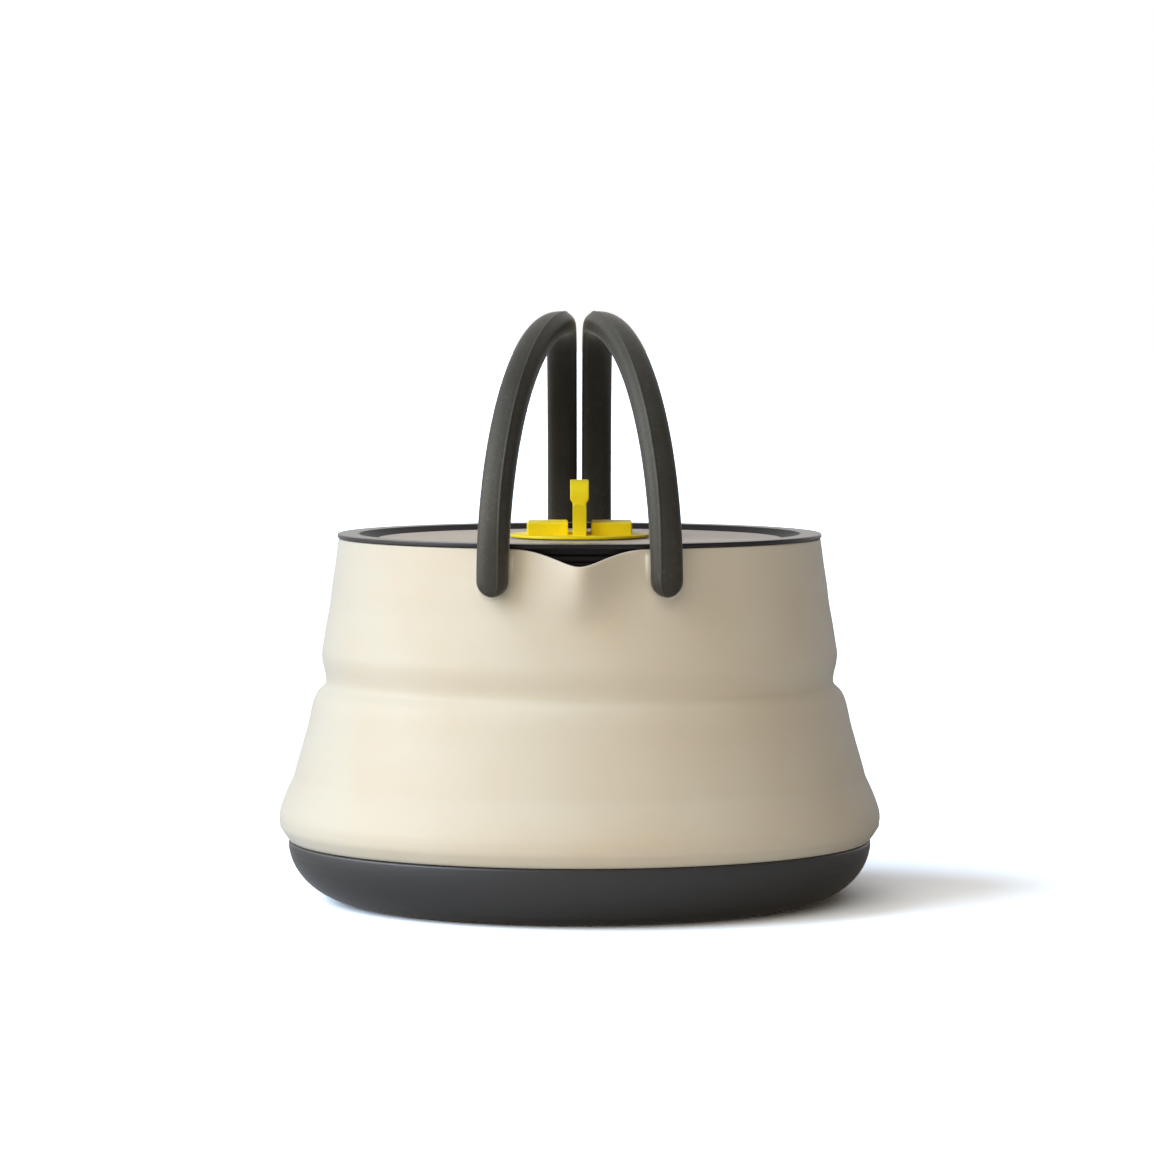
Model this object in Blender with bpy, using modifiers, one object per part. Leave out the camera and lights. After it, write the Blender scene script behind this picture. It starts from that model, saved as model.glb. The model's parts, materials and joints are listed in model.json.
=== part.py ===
"""Collapsible camping kettle: aluminium pan, folding silicone wall with a spout, lid, two half-arch handles.

Metres, +Z up. The origin is on the floor at the kettle's axis, the spout points to -Y.
The silicone wall is one moulding on the real kettle. Here it is three solids, parted at its two hinge
creases: the foot stage, the folding stage, and the upper stage, which telescopes down into the foot.
"""
import math

import bmesh
import bpy
from mathutils import Matrix, Vector

# Gaps and overruns
CLEARANCE = 0.0003
OVERRUN = 0.0030
MERGE_DISTANCE = 0.00001

# Facets round a turned piece, by its size
LARGE_STEPS = 44
SMALL_STEPS = 16
ARC_STEPS = 6
SHARP_ANGLE_DEG = 30

# Pan
PAN_RADIUS = 0.0768
PAN_HEIGHT = 0.0160
PAN_CORNER_WIDTH = 0.0190
PAN_WALL = 0.0014
PAN_FLOOR = 0.0020
PAN_DISH_RADIUS = 0.0400
PAN_DISH_DEPTH = 0.0004
PAN_CORNER_STEPS = 4
NECK_STEP = 0.0020
NECK_HEIGHT = 0.0050
LIP_REACH = 0.0018
LIP_THICKNESS = 0.0010

# Steel hoop under the pan's lip
HOOP_WIRE_RADIUS = 0.0007
HOOP_STEPS = 6

# Silicone wall: heights above the floor, and how far its outer radii are from the pan's or the rim's
HINGE_LOW_Z = 0.0300
HINGE_HIGH_Z = 0.0574
RIM_Z = 0.0954
HINGE_LOW_INSET = 0.0001
FOOT_BULGE = 0.0024
RIM_INSET = 0.0134
BAND_REACH = 0.0045
FOOT_WALL = 0.0020
FOLD_WALL = 0.0015
UPPER_WALL = 0.0018
HINGE_WALL = 0.0009
FOOT_LIP_COVER = 0.0010
FOOT_LIP_INSET = 0.0006
BEAD_HEIGHT = 0.0016
HEM_REACH = 0.0015
HEM_HEIGHT = 0.0014
LEDGE_REACH = 0.0012
LEDGE_HEIGHT = 0.0014

# Outer curves as (share of the stage's height, share of its bulge), from the bottom up
FOOT_CURVE_SHARES = ((0, 0), (0.08, 0.13), (0.15, 0.54), (0.24, 0.78), (0.39, 1), (0.54, 0.92), (0.75, 0.55),
                     (1, 0))
FOLD_CURVE_SHARES = ((0, 1), (0.22, 0.77), (0.42, 0.61), (0.61, 0.46), (0.85, 0.31), (0.93, 0.19), (1, 0))
UPPER_CURVE_SHARES = ((0, 0.78), (0.08, 0.85), (0.14, 0.955), (0.21, 1), (0.41, 0.73), (0.55, 0.53),
                      (0.75, 0.28), (0.9, 0.12), (1, 0))

# Spout
SPOUT_REACH = 0.0086
SPOUT_DIP = 0.0041
SPOUT_HALF_WIDTH = 0.0175
SPOUT_TIP_ROUND = 0.0028
SPOUT_DEPTH = 0.0200
SPOUT_CUT_SHARES = (-0.95, -0.65, -0.4, -0.22, -0.1, 0.1, 0.22, 0.4, 0.65, 0.95)

# Rim ring, inside the silicone
RING_HEIGHT = 0.0112
RING_WALL = 0.0017
NOTCH_HALF_WIDTH = 0.0140
NOTCH_DEPTH = 0.0068

# Handle pivots
PIVOT_DROP = 0.0077
FRONT_PIVOT_X = 0.0215
REAR_PIVOT_X = 0.0051
BOSS_RADIUS = 0.0036
PAD_PROUD = 0.0012
PAD_MARGIN = 0.0010
PIN_RADIUS = 0.0015
PIN_DEPTH = 0.0046
PIN_CHAMFER = 0.0004
BUSH_WALL = 0.0008
BUSH_FLANGE_RADIUS = 0.0034
BUSH_FLANGE = 0.0007

# Handles
HANDLE_RISE = 0.0643
HANDLE_WIDTH = 0.0081
HANDLE_THICKNESS = 0.0066
HANDLE_END_DROP = 0.0042
HANDLE_BEND = 0.0080
HANDLE_TWIST_LENGTH = 0.0250
HANDLE_ARCH_STEPS = 22
HANDLE_SECTION_STEPS = 12
HANDLE_SQUARENESS = 2.6
HANDLE_END_SHARES = (0.97, 0.85, 0.6, 0.3)
HANDLE_END_SQUARENESS = 5

# Lid
LID_OVERHANG = 0.0003
LID_EDGE = 0.0010
LID_FLANGE_WIDTH = 0.0052
LID_COVE_WIDTH = 0.0055
LID_COVE_DEPTH = 0.0013
LID_COVE_STEPS = 4
LID_PLATE = 0.0018
LID_EDGE_CHAMFER = 0.0003
SKIRT_GAP = 0.0010
SKIRT_WALL = 0.0023
SKIRT_DEPTH = 0.0062
SEAL_GROOVE_DEPTH = 0.0010
SEAL_GROOVE_HEIGHT = 0.0022
SEAL_GROOVE_DROP = 0.0018
SLOT_WIDTH = 0.0020
SLOT_HEIGHT = 0.0017
SLOT_PITCH = 0.0044
SLOT_COUNT = 5

# Knob
KNOB_RADIUS = 0.0175
KNOB_DISC = 0.0008
KNOB_DISC_CHAMFER = 0.0003
BLOCK_NEAR_X = 0.00305
BLOCK_FAR_X = 0.0138
BLOCK_HALF_DEPTH = 0.0085
BLOCK_HEIGHT = 0.0033
BLOCK_ROUND = 0.0006
STEM_THICKNESS = 0.0036
EAR_THICKNESS = 0.0030
EAR_BORE_FLOOR = 0.0010
TAB_HALF_DEPTH = 0.0087
TAB_HEAD_THICKNESS = 0.0049
TAB_TOTAL_HEIGHT = 0.0141
TAB_HEAD_HEIGHT = 0.0047
TAB_FLARE_HEIGHT = 0.0013
TAB_CORNER = 0.0050
TAB_EDGE_ROUND = 0.0007
TAB_PIN_RADIUS = 0.0008
STUD_RADIUS = 0.0030
STUD_LENGTH = 0.0054
CLIP_GROOVE_DEPTH = 0.0008
CLIP_THICKNESS = 0.0007
CLIP_RADIUS = 0.0050
CLIP_MOUTH = 0.0030
WASHER_RADIUS = 0.0075
WASHER_THICKNESS = 0.0007

# Places that follow from the sizes above
PIVOT_Z = RIM_Z - PIVOT_DROP
RIM_RADIUS = PAN_RADIUS - RIM_INSET
HINGE_LOW_RADIUS = PAN_RADIUS - HINGE_LOW_INSET
HINGE_HIGH_RADIUS = RIM_RADIUS + BAND_REACH * UPPER_CURVE_SHARES[0][1]
LID_RADIUS = RIM_RADIUS + LID_OVERHANG
NECK_RADIUS = PAN_RADIUS - NECK_STEP
NECK_TOP_Z = PAN_HEIGHT + NECK_HEIGHT
LIP_RADIUS = NECK_RADIUS + LIP_REACH
SEAM_Z = PAN_HEIGHT + CLEARANCE
HEM_Z = RIM_Z - HEM_HEIGHT
RING_TOP_Z = HEM_Z - CLEARANCE
RING_BOTTOM_Z = RING_TOP_Z - RING_HEIGHT
RING_TOP_RADIUS = RIM_RADIUS - UPPER_WALL
RING_BORE = RING_TOP_RADIUS - RING_WALL
LID_UNDER_Z = RIM_Z + CLEARANCE
LID_TOP_Z = LID_UNDER_Z + LID_EDGE
LID_FLOOR_Z = LID_TOP_Z - LID_COVE_DEPTH
LID_CEILING_Z = LID_FLOOR_Z - LID_PLATE
SKIRT_RADIUS = RING_BORE - SKIRT_GAP
STUD_HOLE_RADIUS = STUD_RADIUS + CLEARANCE
DISC_TOP_Z = LID_FLOOR_Z + CLEARANCE + KNOB_DISC
BLOCK_TOP_Z = DISC_TOP_Z + BLOCK_HEIGHT
TAB_AXIS_Z = BLOCK_TOP_Z + CLEARANCE + TAB_HEAD_THICKNESS / 2
TAB_TOP_Z = DISC_TOP_Z + TAB_TOTAL_HEIGHT
EAR_INNER_Y = TAB_HALF_DEPTH + CLEARANCE
EAR_OUTER_Y = EAR_INNER_Y + EAR_THICKNESS
TAB_BORE_END_Y = EAR_OUTER_Y - EAR_BORE_FLOOR
BOSS_BORE_RADIUS = PIN_RADIUS + CLEARANCE + BUSH_WALL + CLEARANCE

# Colours: linear red, green, blue; then roughness and metallic
PAN_LOOK = ((0.055, 0.055, 0.058), 0.45, 0.9)
STEEL_LOOK = ((0.58, 0.58, 0.6), 0.3, 1.0)
SILICONE_LOOK = ((0.77, 0.70, 0.60), 0.55, 0.0)
NYLON_LOOK = ((0.085, 0.085, 0.088), 0.5, 0.0)
LID_LOOK = ((0.16, 0.15, 0.14), 0.12, 0.0)
SEAL_LOOK = ((0.03, 0.03, 0.03), 0.6, 0.0)
YELLOW_LOOK = ((0.83, 0.60, 0.03), 0.5, 0.0)


def clear_scene():
    for obj in list(bpy.data.objects):
        bpy.data.objects.remove(obj, do_unlink=True)


def new_collection(name):
    collection = bpy.data.collections.new(name)
    bpy.context.scene.collection.children.link(collection)
    return collection


def new_material(name, look):
    colour, roughness, metallic = look
    material = bpy.data.materials.new(name)
    material.use_nodes = True
    shader = material.node_tree.nodes["Principled BSDF"]
    shader.inputs["Base Color"].default_value = (*colour, 1.0)
    shader.inputs["Roughness"].default_value = roughness
    shader.inputs["Metallic"].default_value = metallic
    return material


def new_object(name, mesh, collection, location=(0, 0, 0), direction=None):
    """An object at location, its own Z turned along direction."""
    obj = bpy.data.objects.new(name, mesh)
    obj.location = location
    if direction is not None:
        obj.rotation_euler = Vector(direction).to_track_quat("Z", "Y").to_euler()
    collection.objects.link(obj)
    return obj


def new_cutter(name, mesh, location=(0, 0, 0), direction=None):
    cutter = new_object(name, mesh, CUTTERS, location, direction)
    cutter.hide_render = True
    cutter.display_type = "WIRE"
    return cutter


def mesh_from(bm, name):
    bmesh.ops.recalc_face_normals(bm, faces=bm.faces)
    mesh = bpy.data.meshes.new(name)
    bm.to_mesh(mesh)
    bm.free()
    return mesh


def evaluated_mesh(obj):
    bpy.context.view_layer.update()
    graph = bpy.context.evaluated_depsgraph_get()
    return bpy.data.meshes.new_from_object(obj.evaluated_get(graph))


def turned_mesh(name, profile, steps, closed=True):
    """A profile of (radius, z) turned about Z. A closed one runs down its outer side and up its inner one."""
    bm = bmesh.new()
    points = [bm.verts.new((radius, 0, z)) for radius, z in profile]
    for first, second in zip(points, points[1:]):
        bm.edges.new((first, second))
    if closed:
        bm.edges.new((points[-1], points[0]))
    outline = bpy.data.meshes.new(name)
    bm.to_mesh(outline)
    bm.free()
    helper = new_object(name + "_outline", outline, CUTTERS)
    screw = helper.modifiers.new("turn", "SCREW")
    screw.steps = screw.render_steps = steps
    screw.use_merge_vertices = True
    screw.merge_threshold = MERGE_DISTANCE
    mesh = evaluated_mesh(helper)
    bpy.data.objects.remove(helper, do_unlink=True)
    return mesh


def box_mesh(name, low, high):
    """A box between two corners."""
    low, high = Vector(low), Vector(high)
    place = Matrix.Translation((low + high) / 2) @ Matrix.Diagonal((*(high - low), 1))
    bm = bmesh.new()
    bmesh.ops.create_cube(bm, size=1, matrix=place)
    return mesh_from(bm, name)


def rod_mesh(name, radius, low, high, steps=SMALL_STEPS):
    """A cylinder along its own Z, from low to high."""
    bm = bmesh.new()
    bmesh.ops.create_cone(bm, cap_ends=True, segments=steps, radius1=radius, radius2=radius, depth=high - low,
                          matrix=Matrix.Translation((0, 0, (low + high) / 2)))
    return mesh_from(bm, name)


def slab_mesh(name, outline, half_depth, to_world):
    """A flat outline of (across, up) points, extruded half_depth each way and placed by to_world."""
    bm = bmesh.new()
    near = [bm.verts.new(to_world(across, up, -half_depth)) for across, up in outline]
    far = [bm.verts.new(to_world(across, up, half_depth)) for across, up in outline]
    bm.faces.new(near)
    bm.faces.new(list(reversed(far)))
    for index in range(len(outline)):
        after = (index + 1) % len(outline)
        bm.faces.new((near[index], far[index], far[after], near[after]))
    return mesh_from(bm, name)


def add_boolean(obj, cutter, operation="DIFFERENCE"):
    boolean = obj.modifiers.new(cutter.name, "BOOLEAN")
    boolean.operation = operation
    boolean.object = cutter
    boolean.solver = "EXACT"


def finish(obj, material):
    """Applies the modifiers, shades round faces smooth and sets the material."""
    mesh = evaluated_mesh(obj)
    mesh.name = obj.name
    obj.modifiers.clear()
    obj.data = mesh
    mesh.materials.clear()
    mesh.materials.append(material)
    mesh.shade_smooth()
    mesh.set_sharp_from_angle(angle=math.radians(SHARP_ANGLE_DEG))
    return obj


def arc(centre, radius, start_deg, end_deg, steps=ARC_STEPS):
    """Points of an arc in a plane, from start to end."""
    angles = [math.radians(start_deg + (end_deg - start_deg) * step / steps) for step in range(steps + 1)]
    return [(centre[0] + radius * math.cos(angle), centre[1] + radius * math.sin(angle)) for angle in angles]


def smooth_step(share):
    share = min(max(share, 0.0), 1.0)
    return share * share * (3 - 2 * share)


def stage_curve(shares, low_z, high_z, base_radius, bulge):
    """The outer curve of one stage of the wall, bottom to top."""
    return [(base_radius + bulge * out, low_z + (high_z - low_z) * up) for up, out in shares]


def foot_curve():
    return [(radius - HINGE_LOW_INSET * (z - SEAM_Z) / (HINGE_LOW_Z - SEAM_Z), z)
            for radius, z in stage_curve(FOOT_CURVE_SHARES, SEAM_Z, HINGE_LOW_Z, PAN_RADIUS, FOOT_BULGE)]


def fold_curve():
    bulge = HINGE_LOW_RADIUS - HINGE_HIGH_RADIUS
    return stage_curve(FOLD_CURVE_SHARES, HINGE_LOW_Z, HINGE_HIGH_Z, HINGE_HIGH_RADIUS, bulge)


def upper_curve():
    return stage_curve(UPPER_CURVE_SHARES, HINGE_HIGH_Z, RIM_Z, RIM_RADIUS, BAND_REACH)


def radius_at(curve, z):
    """The curve's radius at a height, between its points."""
    for (low_radius, low_z), (high_radius, high_z) in zip(curve, curve[1:]):
        if z <= high_z:
            return low_radius + (high_radius - low_radius) * (z - low_z) / (high_z - low_z)
    return curve[-1][0]


def trimmed(curve, low_z, high_z):
    """The stretch of a curve between two heights, ends included."""
    inside = [(radius, z) for radius, z in curve if low_z < z < high_z]
    return [(radius_at(curve, low_z), low_z), *inside, (radius_at(curve, high_z), high_z)]


def build_pan():
    """Pressed pan: dished floor, elliptical corner, a neck stepped in for the silicone, and a rolled lip."""
    centre = PAN_RADIUS - PAN_CORNER_WIDTH
    angles = [math.radians(90 * step / PAN_CORNER_STEPS) for step in range(PAN_CORNER_STEPS + 1)]
    inner_width = PAN_CORNER_WIDTH - PAN_WALL
    inner_height = PAN_HEIGHT - PAN_FLOOR - PAN_WALL
    inner_corner = [(centre + inner_width * math.sin(angle), PAN_FLOOR + inner_height * (1 - math.cos(angle)))
                    for angle in angles]
    outer_corner = [(centre + PAN_CORNER_WIDTH * math.cos(angle), PAN_HEIGHT * (1 - math.sin(angle)))
                    for angle in angles]
    neck_bore = NECK_RADIUS - PAN_WALL
    profile = [
        (0, PAN_FLOOR), *inner_corner, (neck_bore, PAN_HEIGHT + PAN_WALL), (neck_bore, NECK_TOP_Z),
        (LIP_RADIUS, NECK_TOP_Z), (LIP_RADIUS, NECK_TOP_Z - LIP_THICKNESS),
        (NECK_RADIUS, NECK_TOP_Z - LIP_THICKNESS), (NECK_RADIUS, PAN_HEIGHT), *outer_corner,
        (PAN_DISH_RADIUS, 0), (PAN_DISH_RADIUS - PAN_DISH_DEPTH, PAN_DISH_DEPTH), (0, PAN_DISH_DEPTH)]
    mesh = turned_mesh("base_pan", profile, LARGE_STEPS, closed=False)
    return finish(new_object("base_pan", mesh, PARTS), LOOKS["anodised"])


def build_hoop():
    """Round wire hoop on the silicone's bead, under the pan's lip."""
    ring_radius = (NECK_RADIUS + LIP_RADIUS) / 2 + CLEARANCE
    centre_z = SEAM_Z + BEAD_HEIGHT + CLEARANCE + HOOP_WIRE_RADIUS
    section = arc((ring_radius, centre_z), HOOP_WIRE_RADIUS, 90, -270, HOOP_STEPS)[:-1]
    mesh = turned_mesh("bead_hoop", section, LARGE_STEPS)
    return finish(new_object("bead_hoop", mesh, PARTS), LOOKS["steel"])


def build_wall_foot():
    """Foot stage: a groove takes the pan's lip and the hoop, and the wall thins to the low hinge crease."""
    top_z = HINGE_LOW_Z - CLEARANCE / 2
    outer = trimmed(foot_curve(), SEAM_Z, top_z)
    bead_bore = NECK_RADIUS + CLEARANCE
    groove_radius = LIP_RADIUS + CLEARANCE
    cover_z = NECK_TOP_Z + CLEARANCE
    cover_bore = NECK_RADIUS - FOOT_LIP_INSET
    wall_start_z = cover_z + FOOT_LIP_COVER + FOOT_WALL
    inner = [(radius - FOOT_WALL, z) for radius, z in outer if wall_start_z < z < top_z]
    profile = [*reversed(outer), (bead_bore, SEAM_Z), (bead_bore, SEAM_Z + BEAD_HEIGHT),
               (groove_radius, SEAM_Z + BEAD_HEIGHT), (groove_radius, cover_z), (cover_bore, cover_z),
               (cover_bore, cover_z + FOOT_LIP_COVER), *inner, (outer[-1][0] - HINGE_WALL, top_z)]
    mesh = turned_mesh("wall_foot", profile, LARGE_STEPS)
    return finish(new_object("wall_foot", mesh, PARTS), LOOKS["silicone"])


def build_wall_fold():
    """Folding stage: it turns inside out between the two hinge creases when the kettle is pressed flat."""
    outer = trimmed(fold_curve(), HINGE_LOW_Z + CLEARANCE / 2, HINGE_HIGH_Z - CLEARANCE / 2)
    inner = [(radius - FOLD_WALL, z) for radius, z in outer[1:-1]]
    ends = [(outer[0][0] - HINGE_WALL, outer[0][1]), (outer[-1][0] - HINGE_WALL, outer[-1][1])]
    mesh = turned_mesh("wall_fold", [*reversed(outer), ends[0], *inner, ends[1]], LARGE_STEPS)
    return finish(new_object("wall_fold", mesh, PARTS), LOOKS["silicone"])


def spout_bell(across, half_width=SPOUT_HALF_WIDTH):
    """1 on the spout's ridge, falling to 0 at its sides, with a rounded tip."""
    rounded = math.sqrt(across ** 2 + SPOUT_TIP_ROUND ** 2) - SPOUT_TIP_ROUND
    reach = math.sqrt(half_width ** 2 + SPOUT_TIP_ROUND ** 2) - SPOUT_TIP_ROUND
    return max(0.0, 1 - rounded / reach) ** 2


def draw_spout(mesh):
    """Draws the front of the turned wall out into the spout, and dips its top edge."""
    bm = bmesh.new()
    bm.from_mesh(mesh)
    foot_z = RIM_Z - SPOUT_DEPTH
    for share in SPOUT_CUT_SHARES:
        front = [face for face in bm.faces
                 if face.calc_center_median().y < -RING_BORE / 2 and max(v.co.z for v in face.verts) > foot_z]
        geometry = front + list({edge for face in front for edge in face.edges})
        geometry += list({vert for face in front for vert in face.verts})
        bmesh.ops.bisect_plane(bm, geom=geometry, dist=MERGE_DISTANCE,
                               plane_co=(share * SPOUT_HALF_WIDTH, 0, 0), plane_no=(1, 0, 0))
    for vert in bm.verts:
        if vert.co.y > 0 or vert.co.z < foot_z:
            continue
        rise = smooth_step((vert.co.z - foot_z) / SPOUT_DEPTH)
        bell = spout_bell(vert.co.x)
        is_hem = vert.co.z > HEM_Z - CLEARANCE and vert.co.xy.length < RING_TOP_RADIUS - HEM_REACH / 2
        if is_hem:
            retreat = smooth_step(2 - 2 * abs(vert.co.x) / SPOUT_HALF_WIDTH)
            vert.co.y -= (HEM_REACH - CLEARANCE) * retreat
        vert.co.y -= SPOUT_REACH * bell * rise
        vert.co.z -= SPOUT_DIP * bell * rise
    bm.normal_update()
    bm.to_mesh(mesh)
    bm.free()


def pivot_places():
    """Each pivot's name, side, face point and the hinge axis that points outward there.

    The face point is on the hinge axis, on the inner face of the handle's foot.
    """
    wall = radius_at(upper_curve(), PIVOT_Z)
    proud = PAD_PROUD + CLEARANCE
    places = []
    for side_name, side in (("left", -1), ("right", 1)):
        front = Vector((side * FRONT_PIVOT_X, -(math.sqrt(wall ** 2 - FRONT_PIVOT_X ** 2) + proud), PIVOT_Z))
        rear = Vector((side * REAR_PIVOT_X, math.sqrt(wall ** 2 - REAR_PIVOT_X ** 2) + proud, PIVOT_Z))
        outward = (front - rear).normalized()
        places.append(("front_" + side_name, side, front, outward))
        places.append(("rear_" + side_name, side, rear, -outward))
    return places


def build_wall_upper():
    """Upper stage: hem over the rim ring, ledge under it, spout, and a round pad behind each handle foot."""
    bottom_z = HINGE_HIGH_Z + CLEARANCE / 2
    outer = trimmed(upper_curve(), bottom_z, RIM_Z)
    curve = upper_curve()
    ledge_top = RING_BOTTOM_Z - CLEARANCE
    ledge_bottom = ledge_top - LEDGE_HEIGHT
    ledge_foot = ledge_bottom - LEDGE_REACH
    inner = [(radius - UPPER_WALL, z) for radius, z in outer if bottom_z < z < ledge_foot]
    hem_bore = RING_TOP_RADIUS - HEM_REACH
    ring_space = [(radius_at(curve, z) - UPPER_WALL, z) for z in (ledge_top, PIVOT_Z, HEM_Z)]
    ledge_bore = ring_space[0][0] - LEDGE_REACH
    profile = [*reversed(outer), (outer[0][0] - HINGE_WALL, bottom_z), *inner,
               (radius_at(curve, ledge_foot) - UPPER_WALL, ledge_foot), (ledge_bore, ledge_bottom),
               (ledge_bore, ledge_top), *ring_space, (hem_bore, HEM_Z), (hem_bore, RIM_Z)]
    mesh = turned_mesh("wall_upper", profile, LARGE_STEPS)
    draw_spout(mesh)
    wall = new_object("wall_upper", mesh, PARTS)
    hole_radius = BOSS_RADIUS + CLEARANCE
    for name, _, face, outward in pivot_places():
        pad = rod_mesh("pad_" + name, hole_radius + PAD_MARGIN, -PAD_PROUD - 2 * UPPER_WALL, -2 * CLEARANCE)
        add_boolean(wall, new_cutter("pad_" + name, pad, face, outward), "UNION")
    room_top = HEM_Z - CLEARANCE / 2
    room_bottom = ledge_top + CLEARANCE / 2
    low_radius, middle_radius, high_radius = [radius - CLEARANCE / 2 for radius, _ in ring_space]
    room = turned_mesh("ring_room", [
        (0, room_top), (high_radius, room_top), (middle_radius, PIVOT_Z), (low_radius, room_bottom),
        (0, room_bottom)], LARGE_STEPS, closed=False)
    add_boolean(wall, new_cutter("ring_room", room))
    for name, _, face, outward in pivot_places():
        hole = rod_mesh("boss_hole_" + name, hole_radius, -HANDLE_THICKNESS - OVERRUN, OVERRUN)
        add_boolean(wall, new_cutter("boss_hole_" + name, hole, face, outward))
    return finish(wall, LOOKS["silicone"])


def build_rim_ring():
    """Rigid ring inside the silicone: it carries the four pivot bosses and is notched under the spout."""
    curve = upper_curve()
    gap = UPPER_WALL + CLEARANCE
    top_radius = radius_at(curve, RING_TOP_Z) - gap
    bottom_radius = radius_at(curve, RING_BOTTOM_Z) - gap
    pivot_radius = radius_at(curve, PIVOT_Z) - gap
    profile = [(top_radius, RING_TOP_Z), (pivot_radius, PIVOT_Z), (bottom_radius, RING_BOTTOM_Z),
               (bottom_radius - RING_WALL, RING_BOTTOM_Z), (RING_BORE, PIVOT_Z), (RING_BORE, RING_TOP_Z)]
    ring = new_object("rim_ring", turned_mesh("rim_ring", profile, LARGE_STEPS), PARTS)
    flange_seat = CLEARANCE + BUSH_FLANGE + CLEARANCE
    for name, _, face, outward in pivot_places():
        root = RING_WALL / 2 - boss_depth(face, outward)
        boss = rod_mesh("boss_" + name, BOSS_RADIUS, root, -flange_seat)
        add_boolean(ring, new_cutter("boss_" + name, boss, face, outward), "UNION")
    for name, _, face, outward in pivot_places():
        bore = rod_mesh("boss_bore_" + name, BOSS_BORE_RADIUS, -HANDLE_THICKNESS - OVERRUN, OVERRUN)
        add_boolean(ring, new_cutter("boss_bore_" + name, bore, face, outward))
    notch = box_mesh("spout_notch", (-NOTCH_HALF_WIDTH, -RIM_RADIUS - OVERRUN, RING_TOP_Z - NOTCH_DEPTH),
                     (NOTCH_HALF_WIDTH, -RING_BORE / 2, RING_TOP_Z + OVERRUN))
    add_boolean(ring, new_cutter("spout_notch", notch))
    return finish(ring, LOOKS["nylon"])


def boss_depth(face, outward):
    """How far inward from the foot's inner face the boss reaches, to the ring's bore, less a clearance."""
    along = face.xy.dot(outward.xy)
    return along - math.sqrt(along ** 2 - face.xy.length_squared + RING_BORE ** 2) - CLEARANCE


def build_bush(name, face, outward):
    """Flanged bush in a boss of the rim ring, its flange between the boss and the handle's foot."""
    bore = PIN_RADIUS + CLEARANCE
    outside = bore + BUSH_WALL
    flange_top = -CLEARANCE
    flange_bottom = flange_top - BUSH_FLANGE
    slant = BOSS_RADIUS * abs(outward.xy.cross(face.xy.normalized()))
    bottom = slant - boss_depth(face, outward)
    profile = [(BUSH_FLANGE_RADIUS, flange_top), (BUSH_FLANGE_RADIUS, flange_bottom),
               (outside, flange_bottom), (outside, bottom), (bore, bottom), (bore, flange_top)]
    mesh = turned_mesh("bush_" + name, profile, SMALL_STEPS)
    return finish(new_object("bush_" + name, mesh, PARTS, face, outward), LOOKS["steel"])


def build_pin(name, face, outward):
    """Pivot pin: pressed into the handle's foot, turning in the bush."""
    top = PIN_DEPTH
    bottom = -boss_depth(face, outward) + PIN_CHAMFER
    profile = [(0, top), (PIN_RADIUS - PIN_CHAMFER, top), (PIN_RADIUS, top - PIN_CHAMFER),
               (PIN_RADIUS, bottom + PIN_CHAMFER), (PIN_RADIUS - PIN_CHAMFER, bottom), (0, bottom)]
    mesh = turned_mesh("pin_" + name, profile, SMALL_STEPS, closed=False)
    return finish(new_object("pin_" + name, mesh, PARTS, face, outward), LOOKS["steel"])


def handle_section(width, thickness):
    """A squarish oval of (across, out) points."""
    points = []
    for step in range(HANDLE_SECTION_STEPS):
        angle = math.tau * step / HANDLE_SECTION_STEPS
        cosine, sine = math.cos(angle), math.sin(angle)
        power = 2 / HANDLE_SQUARENESS
        points.append((math.copysign(abs(cosine) ** power, cosine) * width / 2,
                       math.copysign(abs(sine) ** power, sine) * thickness / 2))
    return points


def splay(y):
    """How far a handle has spread at y, and its slope: none behind, steady in front, a round bend between."""
    distance = math.hypot(y, HANDLE_BEND)
    return (distance - y) / 2, (y / distance - 1) / 2


def handle_plan(front, rear, y):
    """How far the arch's centre line is from the middle plane at y, and its slope there."""
    rear_spread, _ = splay(rear.y)
    front_spread, _ = splay(front.y)
    spread, slope = splay(y)
    scale = (abs(front.x) - abs(rear.x)) / (front_spread - rear_spread)
    return abs(rear.x) + scale * (spread - rear_spread), scale * slope


def foot_share(share):
    """How thick a handle's foot still is, as a share, towards its rounded end."""
    return (1 - share ** HANDLE_END_SQUARENESS) ** (1 / HANDLE_END_SQUARENESS)


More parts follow.
